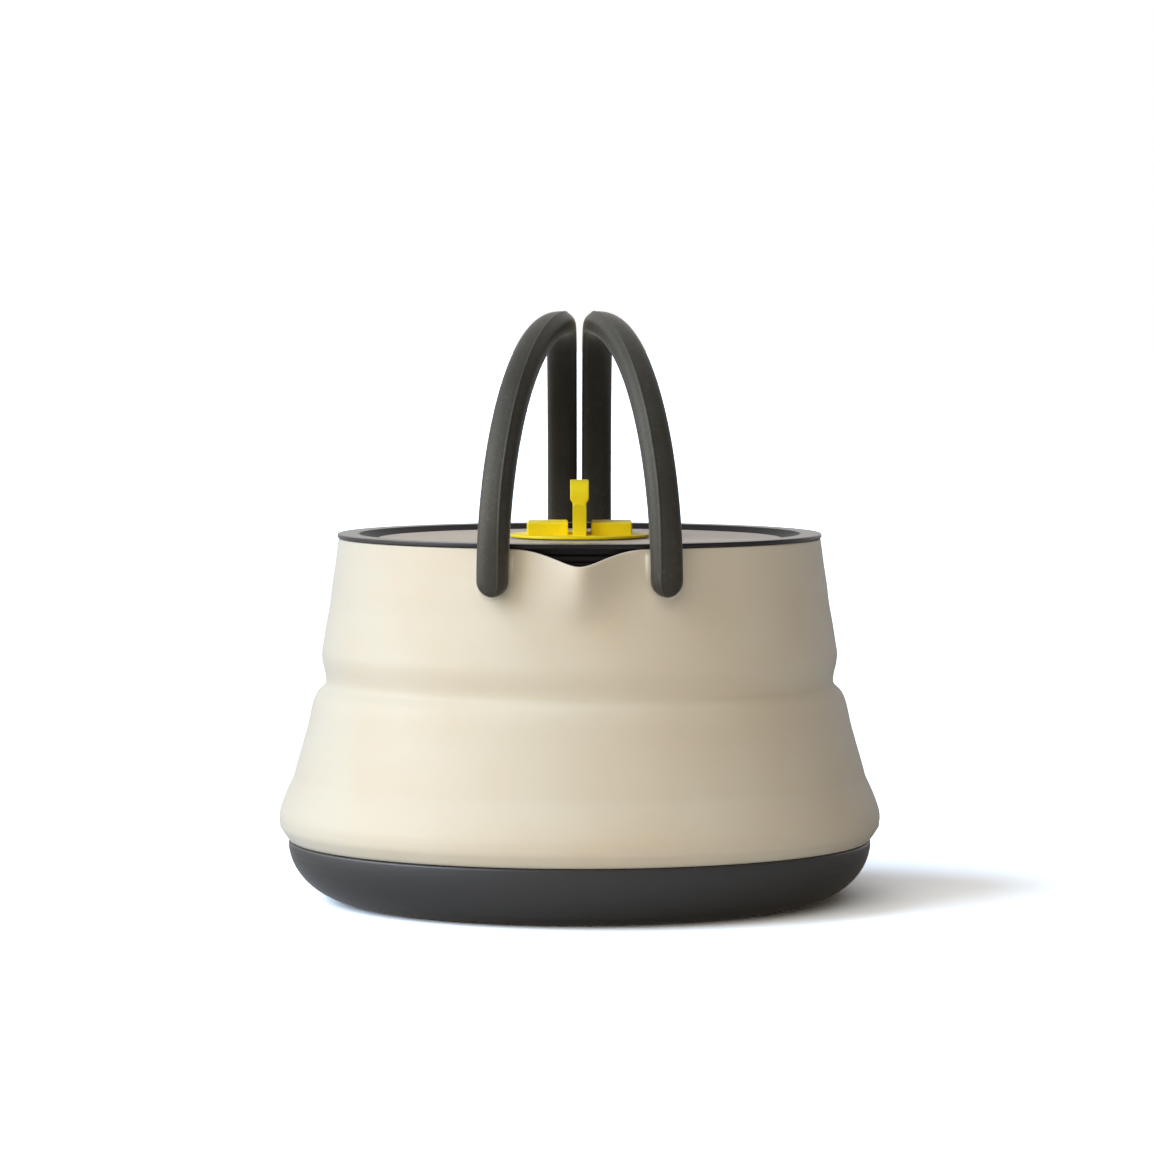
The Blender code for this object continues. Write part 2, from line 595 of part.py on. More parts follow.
def handle_rings(side, front, rear):
    """Rings of points along one handle: rounded foot, front leg, arch, rear leg, rounded foot."""
    outward = (front - rear).normalized()
    front_centre = front + outward * (HANDLE_THICKNESS / 2)
    rear_centre = rear - outward * (HANDLE_THICKNESS / 2)
    foot_heading = math.atan2(-outward.x * side, -outward.y)
    stations = []
    steps = [0, 1 / 2, *range(1, HANDLE_ARCH_STEPS), HANDLE_ARCH_STEPS - 1 / 2, HANDLE_ARCH_STEPS]
    for step in steps:
        angle = math.pi * step / HANDLE_ARCH_STEPS
        reach = -front_centre.y if step * 2 <= HANDLE_ARCH_STEPS else rear_centre.y
        y = -reach * math.cos(angle)
        x, slope = handle_plan(front_centre, rear_centre, y)
        rise = HANDLE_RISE * math.sin(angle)
        twist = smooth_step(rise / HANDLE_TWIST_LENGTH)
        heading = foot_heading + (math.atan(slope) - foot_heading) * twist
        along_y = reach * math.sin(angle)
        along_z = HANDLE_RISE * math.cos(angle)
        length = math.hypot(along_y, along_z)
        stations.append((Vector((x, y, PIVOT_Z + rise)), heading, along_y / length, along_z / length, 1, 1))
    feet = [(share * HANDLE_END_DROP, math.sqrt(1 - share ** 2), foot_share(share))
            for share in HANDLE_END_SHARES]
    start, end = stations[0], stations[-1]
    front_foot = [(start[0] - Vector((0, 0, drop)), start[1], 0, 1, wide, thick)
                  for drop, wide, thick in feet]
    feet.reverse()
    rear_foot = [(end[0] - Vector((0, 0, drop)), end[1], 0, -1, wide, thick)
                 for drop, wide, thick in feet]
    rings = []
    for centre, heading, forward, up, wide, thick in front_foot + stations + rear_foot:
        across = Vector((math.cos(heading), -math.sin(heading), 0))
        ahead = Vector((math.sin(heading), math.cos(heading), 0))
        out = ahead * -up + Vector((0, 0, forward))
        section = handle_section(HANDLE_WIDTH * wide, HANDLE_THICKNESS * thick)
        ring = [centre + across * wide_way + out * thick_way for wide_way, thick_way in section]
        rings.append([Vector((side * point.x, point.y, point.z)) for point in ring])
    return rings


def loft_mesh(name, rings, origin):
    """Closed rings joined in order, capped at both ends, with points relative to the origin."""
    bm = bmesh.new()
    loops = [[bm.verts.new(point - origin) for point in ring] for ring in rings]
    for first, second in zip(loops, loops[1:]):
        for index in range(len(first)):
            after = (index + 1) % len(first)
            bm.faces.new((first[index], first[after], second[after], second[index]))
    bm.faces.new(loops[0])
    bm.faces.new(list(reversed(loops[-1])))
    return mesh_from(bm, name)


def build_handle(side_name, side):
    """Half-arch handle: splayed front leg, upright rear leg, and a blind bore for a pin in each foot."""
    places = {name: (face, outward) for name, _, face, outward in pivot_places()}
    front, front_outward = places["front_" + side_name]
    rear, rear_outward = places["rear_" + side_name]
    name = "handle_" + side_name
    handle = new_object(name, loft_mesh(name, handle_rings(side, front, rear), front), PARTS, front)
    for end, face, outward in (("front", front, front_outward), ("rear", rear, rear_outward)):
        bore_name = f"pin_bore_{end}_{side_name}"
        bore = rod_mesh(bore_name, PIN_RADIUS + CLEARANCE, -OVERRUN, PIN_DEPTH + CLEARANCE)
        add_boolean(handle, new_cutter(bore_name, bore, face, outward))
    return finish(handle, LOOKS["nylon"])


def build_lid():
    """Dished lid: flat flange, cove, flat floor, and a skirt with a seal groove and strainer slots."""
    flange_bore = LID_RADIUS - LID_FLANGE_WIDTH
    cove_foot = flange_bore - LID_COVE_WIDTH
    angles = [math.radians(90 * step / LID_COVE_STEPS) for step in range(LID_COVE_STEPS + 1)]
    cove = [(cove_foot + LID_COVE_WIDTH * math.sin(angle), LID_TOP_Z - LID_COVE_DEPTH * math.cos(angle))
            for angle in angles]
    groove_radius = SKIRT_RADIUS - SEAL_GROOVE_DEPTH
    groove_top = LID_UNDER_Z - SEAL_GROOVE_DROP
    groove_bottom = groove_top - SEAL_GROOVE_HEIGHT
    skirt_bore = SKIRT_RADIUS - SKIRT_WALL
    skirt_bottom = LID_UNDER_Z - SKIRT_DEPTH
    profile = [
        (LID_RADIUS - LID_EDGE_CHAMFER, LID_TOP_Z), (LID_RADIUS, LID_TOP_Z - LID_EDGE_CHAMFER),
        (LID_RADIUS, LID_UNDER_Z), (SKIRT_RADIUS, LID_UNDER_Z), (SKIRT_RADIUS, groove_top),
        (groove_radius, groove_top), (groove_radius, groove_bottom), (SKIRT_RADIUS, groove_bottom),
        (SKIRT_RADIUS, skirt_bottom), (skirt_bore, skirt_bottom), (skirt_bore, LID_CEILING_Z),
        (STUD_HOLE_RADIUS, LID_CEILING_Z), (STUD_HOLE_RADIUS, LID_FLOOR_Z), *cove]
    lid = new_object("lid_shell", turned_mesh("lid_shell", profile, LARGE_STEPS), PARTS)
    for index in range(SLOT_COUNT):
        centre = (index - (SLOT_COUNT - 1) / 2) * SLOT_PITCH
        low = (centre - SLOT_WIDTH / 2, -SKIRT_RADIUS - OVERRUN, skirt_bottom - OVERRUN)
        high = (centre + SLOT_WIDTH / 2, -skirt_bore / 2, skirt_bottom + SLOT_HEIGHT)
        slot = box_mesh(f"slot_{index}", low, high)
        add_boolean(lid, new_cutter(f"slot_{index}", slot))
    return finish(lid, LOOKS["lid"])


def build_seal():
    """Silicone seal in the skirt's groove, against the bore of the rim ring."""
    inner = SKIRT_RADIUS - SEAL_GROOVE_DEPTH + CLEARANCE
    outer = RING_BORE - CLEARANCE
    top = LID_UNDER_Z - SEAL_GROOVE_DROP - CLEARANCE
    bottom = top - SEAL_GROOVE_HEIGHT + 2 * CLEARANCE
    round_in = (outer - inner) / 4
    profile = [(outer - round_in, top), (outer, (top + bottom) / 2), (outer - round_in, bottom),
               (inner, bottom), (inner, top)]
    mesh = turned_mesh("lid_seal", profile, LARGE_STEPS)
    return finish(new_object("lid_seal", mesh, PARTS), LOOKS["seal"])


def build_knob_base():
    """Disc with two rest blocks, a hinge stem with two ears between them, and a grooved stud."""
    half_stem = STEM_THICKNESS / 2
    disc_bottom = LID_FLOOR_Z + CLEARANCE
    disc = turned_mesh("knob_base", [
        (0, DISC_TOP_Z), (KNOB_RADIUS - KNOB_DISC_CHAMFER, DISC_TOP_Z),
        (KNOB_RADIUS, DISC_TOP_Z - KNOB_DISC_CHAMFER),
        (KNOB_RADIUS, disc_bottom), (0, disc_bottom)], LARGE_STEPS, closed=False)
    knob = new_object("knob_base", disc, PARTS)
    sink_z = disc_bottom + KNOB_DISC / 2
    for side_name, side in (("left", -1), ("right", 1)):
        near, far = BLOCK_NEAR_X, BLOCK_FAR_X
        rounds = arc((far - BLOCK_ROUND, BLOCK_TOP_Z - BLOCK_ROUND), BLOCK_ROUND, 0, 90, ARC_STEPS // 2)
        rounds += arc((near + BLOCK_ROUND, BLOCK_TOP_Z - BLOCK_ROUND), BLOCK_ROUND, 90, 180, ARC_STEPS // 2)
        outline = [(near, sink_z), (far, sink_z), *rounds]
        block = slab_mesh("block_" + side_name, outline, BLOCK_HALF_DEPTH,
                          lambda across, up, depth, side=side: (side * across, depth, up))
        add_boolean(knob, new_cutter("block_" + side_name, block), "UNION")
    web_top = TAB_AXIS_Z - half_stem - CLEARANCE
    web = box_mesh("stem_web", (-half_stem, -EAR_OUTER_Y, sink_z), (half_stem, EAR_OUTER_Y, web_top))
    add_boolean(knob, new_cutter("stem_web", web), "UNION")
    ear_outline = [(-half_stem, web_top - half_stem), (half_stem, web_top - half_stem),
                   *arc((0, TAB_AXIS_Z), half_stem, 0, 180)]
    for end_name, end in (("front", -1), ("rear", 1)):
        middle = end * (EAR_INNER_Y + EAR_OUTER_Y) / 2
        ear = slab_mesh("ear_" + end_name, ear_outline, EAR_THICKNESS / 2,
                        lambda across, up, depth, middle=middle: (across, middle + depth, up))
        add_boolean(knob, new_cutter("ear_" + end_name, ear), "UNION")
    groove_top = LID_CEILING_Z - CLEARANCE - WASHER_THICKNESS
    groove_bottom = groove_top - CLIP_THICKNESS - 2 * CLEARANCE
    groove_radius = STUD_RADIUS - CLIP_GROOVE_DEPTH
    stud_bottom = disc_bottom - STUD_LENGTH
    stud = turned_mesh("stud", [
        (0, sink_z), (STUD_RADIUS, sink_z), (STUD_RADIUS, groove_top), (groove_radius, groove_top),
        (groove_radius, groove_bottom), (STUD_RADIUS, groove_bottom), (STUD_RADIUS, stud_bottom),
        (0, stud_bottom)], SMALL_STEPS, closed=False)
    add_boolean(knob, new_cutter("stud", stud), "UNION")
    bore = rod_mesh("tab_pin_bore", TAB_PIN_RADIUS + CLEARANCE, -TAB_BORE_END_Y, EAR_OUTER_Y + OVERRUN,
                    ARC_STEPS * 2)
    add_boolean(knob, new_cutter("tab_pin_bore", bore, (0, 0, TAB_AXIS_Z), (0, 1, 0)))
    return finish(knob, LOOKS["yellow"])


def build_tab():
    """Flip-up tab: a thin neck that flares to a thicker head, turning on its pin between the ears."""
    half_neck = STEM_THICKNESS / 2
    half_head = TAB_HEAD_THICKNESS / 2
    top = TAB_TOP_Z - TAB_AXIS_Z
    head_low = top - TAB_HEAD_HEIGHT
    edge = arc((half_head - TAB_EDGE_ROUND, top - TAB_EDGE_ROUND), TAB_EDGE_ROUND, 0, 90, ARC_STEPS // 2)
    right_side = [(half_neck, head_low - TAB_FLARE_HEIGHT), (half_head, head_low), *edge]
    left_side = [(-across, up) for across, up in reversed(right_side)]
    profile = arc((0, 0), half_neck, 180, 360) + right_side + left_side
    body = slab_mesh("lid_tab", profile, TAB_HALF_DEPTH, lambda across, up, depth: (across, depth, up))
    tab = new_object("lid_tab", body, PARTS, (0, 0, TAB_AXIS_Z))
    corner = arc((TAB_HALF_DEPTH - TAB_CORNER, top - TAB_CORNER), TAB_CORNER, 0, 90)
    face = [(TAB_HALF_DEPTH, -half_head), *corner]
    outline = face + [(-across, up) for across, up in reversed(face)]
    shape = slab_mesh("tab_outline", outline, half_head + OVERRUN,
                      lambda across, up, depth: (depth, across, up))
    add_boolean(tab, new_cutter("tab_outline", shape, (0, 0, TAB_AXIS_Z)), "INTERSECT")
    bore_end = TAB_HALF_DEPTH + OVERRUN
    bore = rod_mesh("tab_bore", TAB_PIN_RADIUS + CLEARANCE, -bore_end, bore_end, ARC_STEPS * 2)
    add_boolean(tab, new_cutter("tab_bore", bore, (0, 0, TAB_AXIS_Z), (0, 1, 0)))
    return finish(tab, LOOKS["yellow"])


def build_tab_pin():
    """Pin through the tab and both ears, put in from the rear."""
    front_end = CLEARANCE - TAB_BORE_END_Y
    mesh = rod_mesh("tab_pin", TAB_PIN_RADIUS, front_end, EAR_OUTER_Y - CLEARANCE, ARC_STEPS * 2)
    return finish(new_object("tab_pin", mesh, PARTS, (0, 0, TAB_AXIS_Z), (0, 1, 0)), LOOKS["steel"])


def build_knob_fasteners():
    """Washer under the lid, and an open retaining clip in the stud's groove below it."""
    washer_top = LID_CEILING_Z - CLEARANCE
    washer_bottom = washer_top - WASHER_THICKNESS
    washer_profile = [(WASHER_RADIUS, washer_top), (WASHER_RADIUS, washer_bottom),
                      (STUD_HOLE_RADIUS, washer_bottom), (STUD_HOLE_RADIUS, washer_top)]
    washer = new_object("knob_washer", turned_mesh("knob_washer", washer_profile, SMALL_STEPS), PARTS)
    finish(washer, LOOKS["steel"])
    clip_top = washer_bottom - CLEARANCE
    clip_bore = STUD_RADIUS - CLIP_GROOVE_DEPTH + CLEARANCE
    clip_profile = [(CLIP_RADIUS, clip_top), (CLIP_RADIUS, clip_top - CLIP_THICKNESS),
                    (clip_bore, clip_top - CLIP_THICKNESS), (clip_bore, clip_top)]
    clip = new_object("knob_clip", turned_mesh("knob_clip", clip_profile, SMALL_STEPS), PARTS)
    mouth = box_mesh("clip_mouth", (-CLIP_MOUTH / 2, 0, clip_top - CLIP_THICKNESS - OVERRUN),
                     (CLIP_MOUTH / 2, CLIP_RADIUS + OVERRUN, clip_top + OVERRUN))
    add_boolean(clip, new_cutter("clip_mouth", mouth))
    finish(clip, LOOKS["steel"])


clear_scene()
PARTS = new_collection("collapsible_kettle")
CUTTERS = new_collection("cutters")
LOOKS = {
    "anodised": new_material("anodised", PAN_LOOK),
    "steel": new_material("steel", STEEL_LOOK),
    "silicone": new_material("silicone", SILICONE_LOOK),
    "nylon": new_material("nylon", NYLON_LOOK),
    "lid": new_material("lid", LID_LOOK),
    "seal": new_material("seal", SEAL_LOOK),
    "yellow": new_material("yellow", YELLOW_LOOK),
}
build_pan()
build_hoop()
build_wall_foot()
build_wall_fold()
build_wall_upper()
build_rim_ring()
for place, _, face_point, axis_outward in pivot_places():
    build_bush(place, face_point, axis_outward)
    build_pin(place, face_point, axis_outward)
build_handle("left", -1)
build_handle("right", 1)
build_lid()
build_seal()
build_knob_base()
build_knob_fasteners()
build_tab()
build_tab_pin()
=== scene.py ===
"""Collapsible camping kettle: the finished looks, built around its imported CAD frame.

Metres, +Z up, the spout towards -Y. The file is laid out as an add-on and is run as a script.
"""

import json
import math

import bmesh
import bpy
from mathutils import Matrix, Vector


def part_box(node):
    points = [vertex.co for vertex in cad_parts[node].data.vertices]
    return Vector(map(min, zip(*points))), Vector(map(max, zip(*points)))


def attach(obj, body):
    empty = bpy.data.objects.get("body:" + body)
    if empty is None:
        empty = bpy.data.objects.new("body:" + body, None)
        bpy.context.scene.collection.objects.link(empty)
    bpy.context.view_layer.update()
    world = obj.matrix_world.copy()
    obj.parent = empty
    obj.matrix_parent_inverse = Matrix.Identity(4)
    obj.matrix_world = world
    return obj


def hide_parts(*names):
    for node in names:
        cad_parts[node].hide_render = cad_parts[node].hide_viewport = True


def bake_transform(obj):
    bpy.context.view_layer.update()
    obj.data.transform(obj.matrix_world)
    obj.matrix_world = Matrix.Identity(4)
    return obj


bl_info = {
    "name": "Collapsible kettle",
    "version": (1, 0, 0),
    "blender": (4, 5, 0),
    "location": "3D View > Sidebar > Kettle",
    "description": "Builds the looks of a collapsible camping kettle around its CAD frame",
    "category": "Add Mesh",
}

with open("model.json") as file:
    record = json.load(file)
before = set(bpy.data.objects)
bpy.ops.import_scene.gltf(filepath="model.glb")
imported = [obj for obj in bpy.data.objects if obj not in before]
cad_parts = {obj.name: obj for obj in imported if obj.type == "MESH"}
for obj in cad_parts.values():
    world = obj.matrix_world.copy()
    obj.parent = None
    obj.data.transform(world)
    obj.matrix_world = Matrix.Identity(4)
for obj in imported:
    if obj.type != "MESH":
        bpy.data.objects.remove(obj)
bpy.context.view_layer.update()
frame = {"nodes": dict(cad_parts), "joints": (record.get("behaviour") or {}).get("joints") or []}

MM = 0.001
MERGE_DISTANCE = MM / 1000
WEDGE_STEPS = 24
# Flats in an outline's rounded corner, and the most of a side that it takes up
FILLET_STEPS = 4
FILLET_SHARE = 0.49
SHARP_DEG = 40
SIDES = (("left", -1), ("right", 1))

# Outer line of the silicone wall, from the seam with the pan up to the rim: (radius, height) in mm
WALL_LINE = (
    (76.5, 16.3), (77.0, 16.9), (77.75, 17.9), (78.4, 18.9), (78.72, 19.45), (78.98, 19.8), (78.97, 20.15),
    (79.2, 21.8), (79.05, 23.7), (78.4, 25.8), (77.55, 28.1), (76.45, 30.6), (75.72, 32.1), (75.42, 32.7),
    (75.25, 33.3), (74.75, 35.3), (72.95, 41.6), (71.5, 46.8), (70.6, 51.0), (70.0, 53.1), (69.0, 55.2),
    (67.8, 56.3), (66.95, 57.3), (66.85, 58.6), (67.15, 60.5), (67.65, 62.6),
    (67.9, 65.3), (67.5, 67.9), (66.7, 73.1), (65.75, 78.4), (65.1, 83.7), (64.3, 88.9), (63.75, 93.1),
    (63.4, 95.4))
# Thickness of that wall at heights in mm: it thins at the two hinge creases
WALL_THICKNESS = (
    (16.0, 2.0), (28.6, 2.0), (30.0, 0.9), (31.6, 1.5), (55.9, 1.5), (57.3, 0.9), (59.2, 1.8), (96.0, 1.8))


def linear(code):
    """A colour from its sRGB hex code, as linear red, green, blue and alpha."""
    shares = [int(code[place:place + 2], 16) / 255 for place in (1, 3, 5)]
    channels = [((share + 0.055) / 1.055) ** 2.4 if share > 0.04045 else share / 12.92 for share in shares]
    return (*channels, 1.0)


def colour(name, code, description):
    return bpy.props.FloatVectorProperty(
        name=name, description=description, subtype="COLOR", size=4, min=0, max=1, default=linear(code))


def length(name, millimetres, description):
    return bpy.props.FloatProperty(
        name=name, description=description, subtype="DISTANCE", unit="LENGTH", min=0,
        default=millimetres * MM, precision=5)


class KettleSizes(bpy.types.PropertyGroup):
    """Sizes of the kettle's visible pieces."""
    spout_reach: length("Spout reach", 8.6, "How far the spout is drawn out of the round wall")
    spout_dip: length("Spout dip", 3.95, "How far the spout's tip lies below the rim")
    spout_half_width: length("Spout half width", 17.5, "From the spout's ridge to its lip's end")
    spout_tip: length("Spout tip rounding", 4.0, "Radius of the spout's ridge")
    spout_depth: length("Spout depth", 23.0, "From the rim to the foot of the spout's ridge")
    pad_radius: length("Pad radius", 4.45, "Half width of the raised pad behind each handle foot")
    handle_width: length("Handle width", 8.1, "Across the handle's outer face")
    handle_thickness: length("Handle thickness", 6.6, "From the handle's inner to its outer face")
    handle_rise: length("Handle rise", 64.3, "From the pivots to the arch's centre line at its top")
    round_steps: bpy.props.IntProperty(
        name="Round steps", description="Facets round a turned piece", min=32, max=512, default=240)


class KettleColours(bpy.types.PropertyGroup):
    """Colours of the kettle's materials."""
    silicone: colour("Silicone", "#E4D9BF", "Main tone of the silicone wall")
    silicone_warm: colour("Silicone, warm", "#E3D5B9", "Tone of the wall's faint warm clouds")
    anodised: colour("Anodised pan", "#403F3D", "Main tone of the hard-anodised pan")
    nylon: colour("Handles", "#3E3C35", "Main tone of the handles' nylon")
    smoke: colour("Lid", "#25211E", "Main tone of the smoke-grey lid")
    yellow: colour("Knob", "#FFE318", "Main tone of the yellow knob")
    steel: colour("Steel", "#C4C3C0", "Main tone of the stainless steel")
    seal: colour("Seal", "#2E2C2B", "Main tone of the lid's seal")
    floor: colour("Floor", "#F2EFEA", "Tone of the studio floor")


# Small tools that every piece uses

def smooth_step(share):
    share = min(max(share, 0.0), 1.0)
    return share * share * (3 - 2 * share)


def between(line, place):
    """The value of a line of (place, value) points at a place."""
    for (low, low_value), (high, high_value) in zip(line, line[1:]):
        if place <= high:
            return low_value + (high_value - low_value) * (place - low) / (high - low)
    return line[-1][1]


def flowing(points, spacing):
    """A smooth curve through 2-D points, with new points about every spacing."""
    points = [Vector(point) for point in points]
    ends = [2 * points[0] - points[1], *points, 2 * points[-1] - points[-2]]
    curve = []
    for before, first, second, after in zip(ends, ends[1:], ends[2:], ends[3:]):
        span = (second - first).length
        steps = max(1, round(span / spacing))
        leave = (second - before) * span / (span + (first - before).length)
        arrive = (after - first) * span / ((after - second).length + span)
        for step in range(steps):
            t = step / steps
            curve.append(first * (2 * t ** 3 - 3 * t ** 2 + 1) + leave * (t ** 3 - 2 * t ** 2 + t)
                         + second * (3 * t ** 2 - 2 * t ** 3) + arrive * (t ** 3 - t ** 2))
    return curve + [points[-1]]


def filleted(corners):
    """An outline of (radius, height, rounding) corners in mm, each turned into an arc, in metres."""
    outline = []
    places = [Vector(corner[:2]) for corner in corners]
    for index, (_, _, rounding) in enumerate(corners):
        here = places[index]
        before, after = places[index - 1], places[(index + 1) % len(places)]
        if not rounding:
            outline.append(here)
            continue
        back, ahead = before - here, after - here
        half = back.angle(ahead) / 2
        reach = min(rounding / math.tan(half), back.length * FILLET_SHARE, ahead.length * FILLET_SHARE)
        radius = reach * math.tan(half)
        middle = here + (back.normalized() + ahead.normalized()).normalized() * (radius / math.sin(half))
        start = here + back.normalized() * reach - middle
        end = here + ahead.normalized() * reach - middle
        # slerp gives unit vectors
        shares = [step / FILLET_STEPS for step in range(FILLET_STEPS + 1)]
        outline += [middle + start.slerp(end, share) * radius for share in shares]
    return [point * MM for point in outline]


def turned(outline, sectors, start_deg=0, closed=True):
    """Turns an outline of (radius, height) about Z, in sectors of (degrees, steps).

    A fine outline takes long to spin far, so a wedge is spun and repeated round each sector.
    """
    bm = bmesh.new()
    wedge_mesh = bpy.data.meshes.new("wedge")
    start = math.radians(start_deg)
    for degrees, steps in sectors:
        wedges = steps // WEDGE_STEPS
        angle = math.radians(degrees) / wedges
        wedge = bmesh.new()
        verts = [wedge.verts.new((radius * math.cos(start), radius * math.sin(start), height))
                 for radius, height in outline]
        pairs = list(zip(verts, verts[1:])) + ([(verts[-1], verts[0])] if closed else [])
        edges = [wedge.edges.new(pair) for pair in pairs]
        bmesh.ops.spin(wedge, geom=verts + edges, cent=(0, 0, 0), axis=(0, 0, 1), angle=angle,
                       steps=WEDGE_STEPS, use_merge=False)
        wedge.to_mesh(wedge_mesh)
        wedge.free()
        for _ in range(wedges):
            bm.from_mesh(wedge_mesh)
            wedge_mesh.transform(Matrix.Rotation(angle, 4, "Z"))
        start += angle * wedges
    bpy.data.meshes.remove(wedge_mesh)
    bmesh.ops.remove_doubles(bm, verts=bm.verts, dist=MERGE_DISTANCE)
    bmesh.ops.recalc_face_normals(bm, faces=bm.faces)
    return bm


def block(size, centre, rounding):
    """A box with rounded edges, from its size and centre in mm."""
    bm = bmesh.new()
    bmesh.ops.create_cube(bm, size=1)
    bmesh.ops.scale(bm, vec=Vector(size) * MM, verts=bm.verts)
    bmesh.ops.translate(bm, vec=Vector(centre) * MM, verts=bm.verts)
    if rounding:
        bmesh.ops.bevel(bm, geom=bm.edges, offset=rounding * MM, affect="EDGES", segments=3, profile=0.5,
                        material=-1)
    return bm


def rod(radius, low, high, place, steps=48):
    """A cylinder along its own Z from low to high, all in mm, placed by a matrix in metres."""
    bm = bmesh.new()
    bmesh.ops.create_cone(bm, cap_ends=True, segments=steps, radius1=radius * MM, radius2=radius * MM,
                          depth=(high - low) * MM, matrix=Matrix.Translation((0, 0, (low + high) / 2 * MM)))
    bmesh.ops.transform(bm, matrix=place, verts=bm.verts)
    return bm


def shade(mesh, sharp_deg):
    """Shades a mesh smooth, except at edges sharper than sharp_deg."""
    mesh.shade_smooth()
    mesh.set_sharp_from_angle(angle=math.radians(sharp_deg))


def new_piece(name, bm, material=None, sharp_deg=SHARP_DEG):
    """Makes a piece of a bmesh."""
    mesh = bpy.data.meshes.new(name)
    bm.to_mesh(mesh)
    bm.free()
    shade(mesh, sharp_deg)
    if material:
        mesh.materials.append(material)
    piece = bpy.data.objects.new(name, mesh)
    bpy.context.scene.collection.objects.link(piece)
    return piece


def settle(piece):
    """Makes what a piece's modifiers give its own mesh."""
    bpy.context.view_layer.update()
    graph = bpy.context.evaluated_depsgraph_get()
    mesh = bpy.data.meshes.new_from_object(piece.evaluated_get(graph))
    piece.modifiers.clear()
    piece.data = mesh


def combine(piece, operation, *tools, sharp_deg=SHARP_DEG):
    """Cuts tools out of a piece, or joins them to it."""
    helpers = []
    for index, bm in enumerate(tools):
        helper = new_piece(f"{piece.name}_tool_{index}", bm)
        boolean = piece.modifiers.new(helper.name, "BOOLEAN")
        boolean.operation = operation
        boolean.solver = "EXACT"
        boolean.object = helper
        helpers.append(helper)
    settle(piece)
    # The tools bring empty material slots with them
    while len(piece.data.materials) > 1:
        piece.data.materials.pop()
    shade(piece.data, sharp_deg)
    for helper in helpers:
        bpy.data.objects.remove(helper, do_unlink=True)


def place_piece(piece, body, slot, *nodes):
    """Lets a piece ride on its body, standing for CAD nodes. The slot argument is not used."""
    # Normals weighed by face area keep its flats flat beside their rounded edges
    weigh = piece.modifiers.new("weigh_normals", "WEIGHTED_NORMAL")
    weigh.keep_sharp = True
    settle(piece)
    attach(piece, body)
    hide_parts(*nodes)


def dress_nodes(material, *names):
    """Gives CAD nodes whose shape is right a finished material."""
    for name in names:
        for slot in frame["nodes"][name].material_slots:
            slot.material = material


# Materials

# Most of a noise lies between these values
NOISE_SPAN = {"From Min": 0.3, "From Max": 0.7}


def shaded(colour, *shares):
    """A colour with its channels multiplied, all by one share or each by its own."""
    red, green, blue = shares if len(shares) == 3 else shares * 3
    return (colour[0] * red, colour[1] * green, colour[2] * blue, 1)


def add_node(tree, kind, inputs, output=0, **settings):
    """Adds a shader node with its settings, values and links, and gives one of its outputs."""
    node = tree.nodes.new("ShaderNode" + kind)
    for name, value in settings.items():
        setattr(node, name, value)
    for name, value in inputs.items():
        if isinstance(value, bpy.types.NodeSocket):
            tree.links.new(value, node.inputs[name])
        else:
            node.inputs[name].default_value = value
    return node.outputs[output] if node.outputs else None


def new_material(name):
    """A material, its node tree, and the place on the object in it."""
    material = bpy.data.materials.new(name)
    material.use_nodes = True
    tree = material.node_tree
    tree.nodes.clear()
    return material, tree, add_node(tree, "TexCoord", {}, "Object")


def surfaced(material, kind, inputs):
    """Gives a material its shader, and gives it back."""
    shader = add_node(material.node_tree, kind, inputs)
    add_node(material.node_tree, "OutputMaterial", {"Surface": shader})
    return material


def axis_distance(tree, place):
    """How far a place is from the kettle's upright axis."""
    flat = add_node(tree, "VectorMath", {0: place, 1: (1, 1, 0)}, operation="MULTIPLY")
    return add_node(tree, "VectorMath", {0: flat}, "Value", operation="LENGTH")


def surface_grain(tree, place, width, roughness, depth, strength):
    """A grain of a width and depth in mm, with the roughness and the relief that it gives."""
    grain = add_node(tree, "TexNoise", {"Vector": place, "Scale": 1 / (width * MM), "Detail": 3.0})
    rough = add_node(tree, "MapRange", {
        "Value": grain, **NOISE_SPAN, "To Min": roughness[0], "To Max": roughness[1]})
    normal = add_node(tree, "Bump", {"Height": grain, "Distance": depth * MM, "Strength": strength})
    return grain, rough, normal


def clouded(tree, place, width, tone, shades, most=1.0, detail=2.0):
    """A tone with clouds of a width in mm, shaded by one share or three, at most this much."""
    noise = add_node(tree, "TexNoise", {"Vector": place, "Scale": 1 / (width * MM), "Detail": detail})
    share = add_node(tree, "MapRange", {"Value": noise, **NOISE_SPAN, "To Max": most})
    return add_node(tree, "Mix", {0: share, 6: tuple(tone), 7: shaded(tone, *shades)}, 2, data_type="RGBA")


def ray_kinds(tree):
    """Sockets that give 1 for the camera's own rays, and for mirrored or refracted ones."""
    camera_ray = add_node(tree, "LightPath", {}, "Is Camera Ray")
    glossy_ray = add_node(tree, "LightPath", {}, "Is Glossy Ray")
    transmission_ray = add_node(tree, "LightPath", {}, "Is Transmission Ray")
    mirrored = add_node(tree, "Math", {0: glossy_ray, 1: transmission_ray}, operation="MAXIMUM")
    return camera_ray, mirrored


# The widths of grains below are in mm, turned into a noise scale per metre

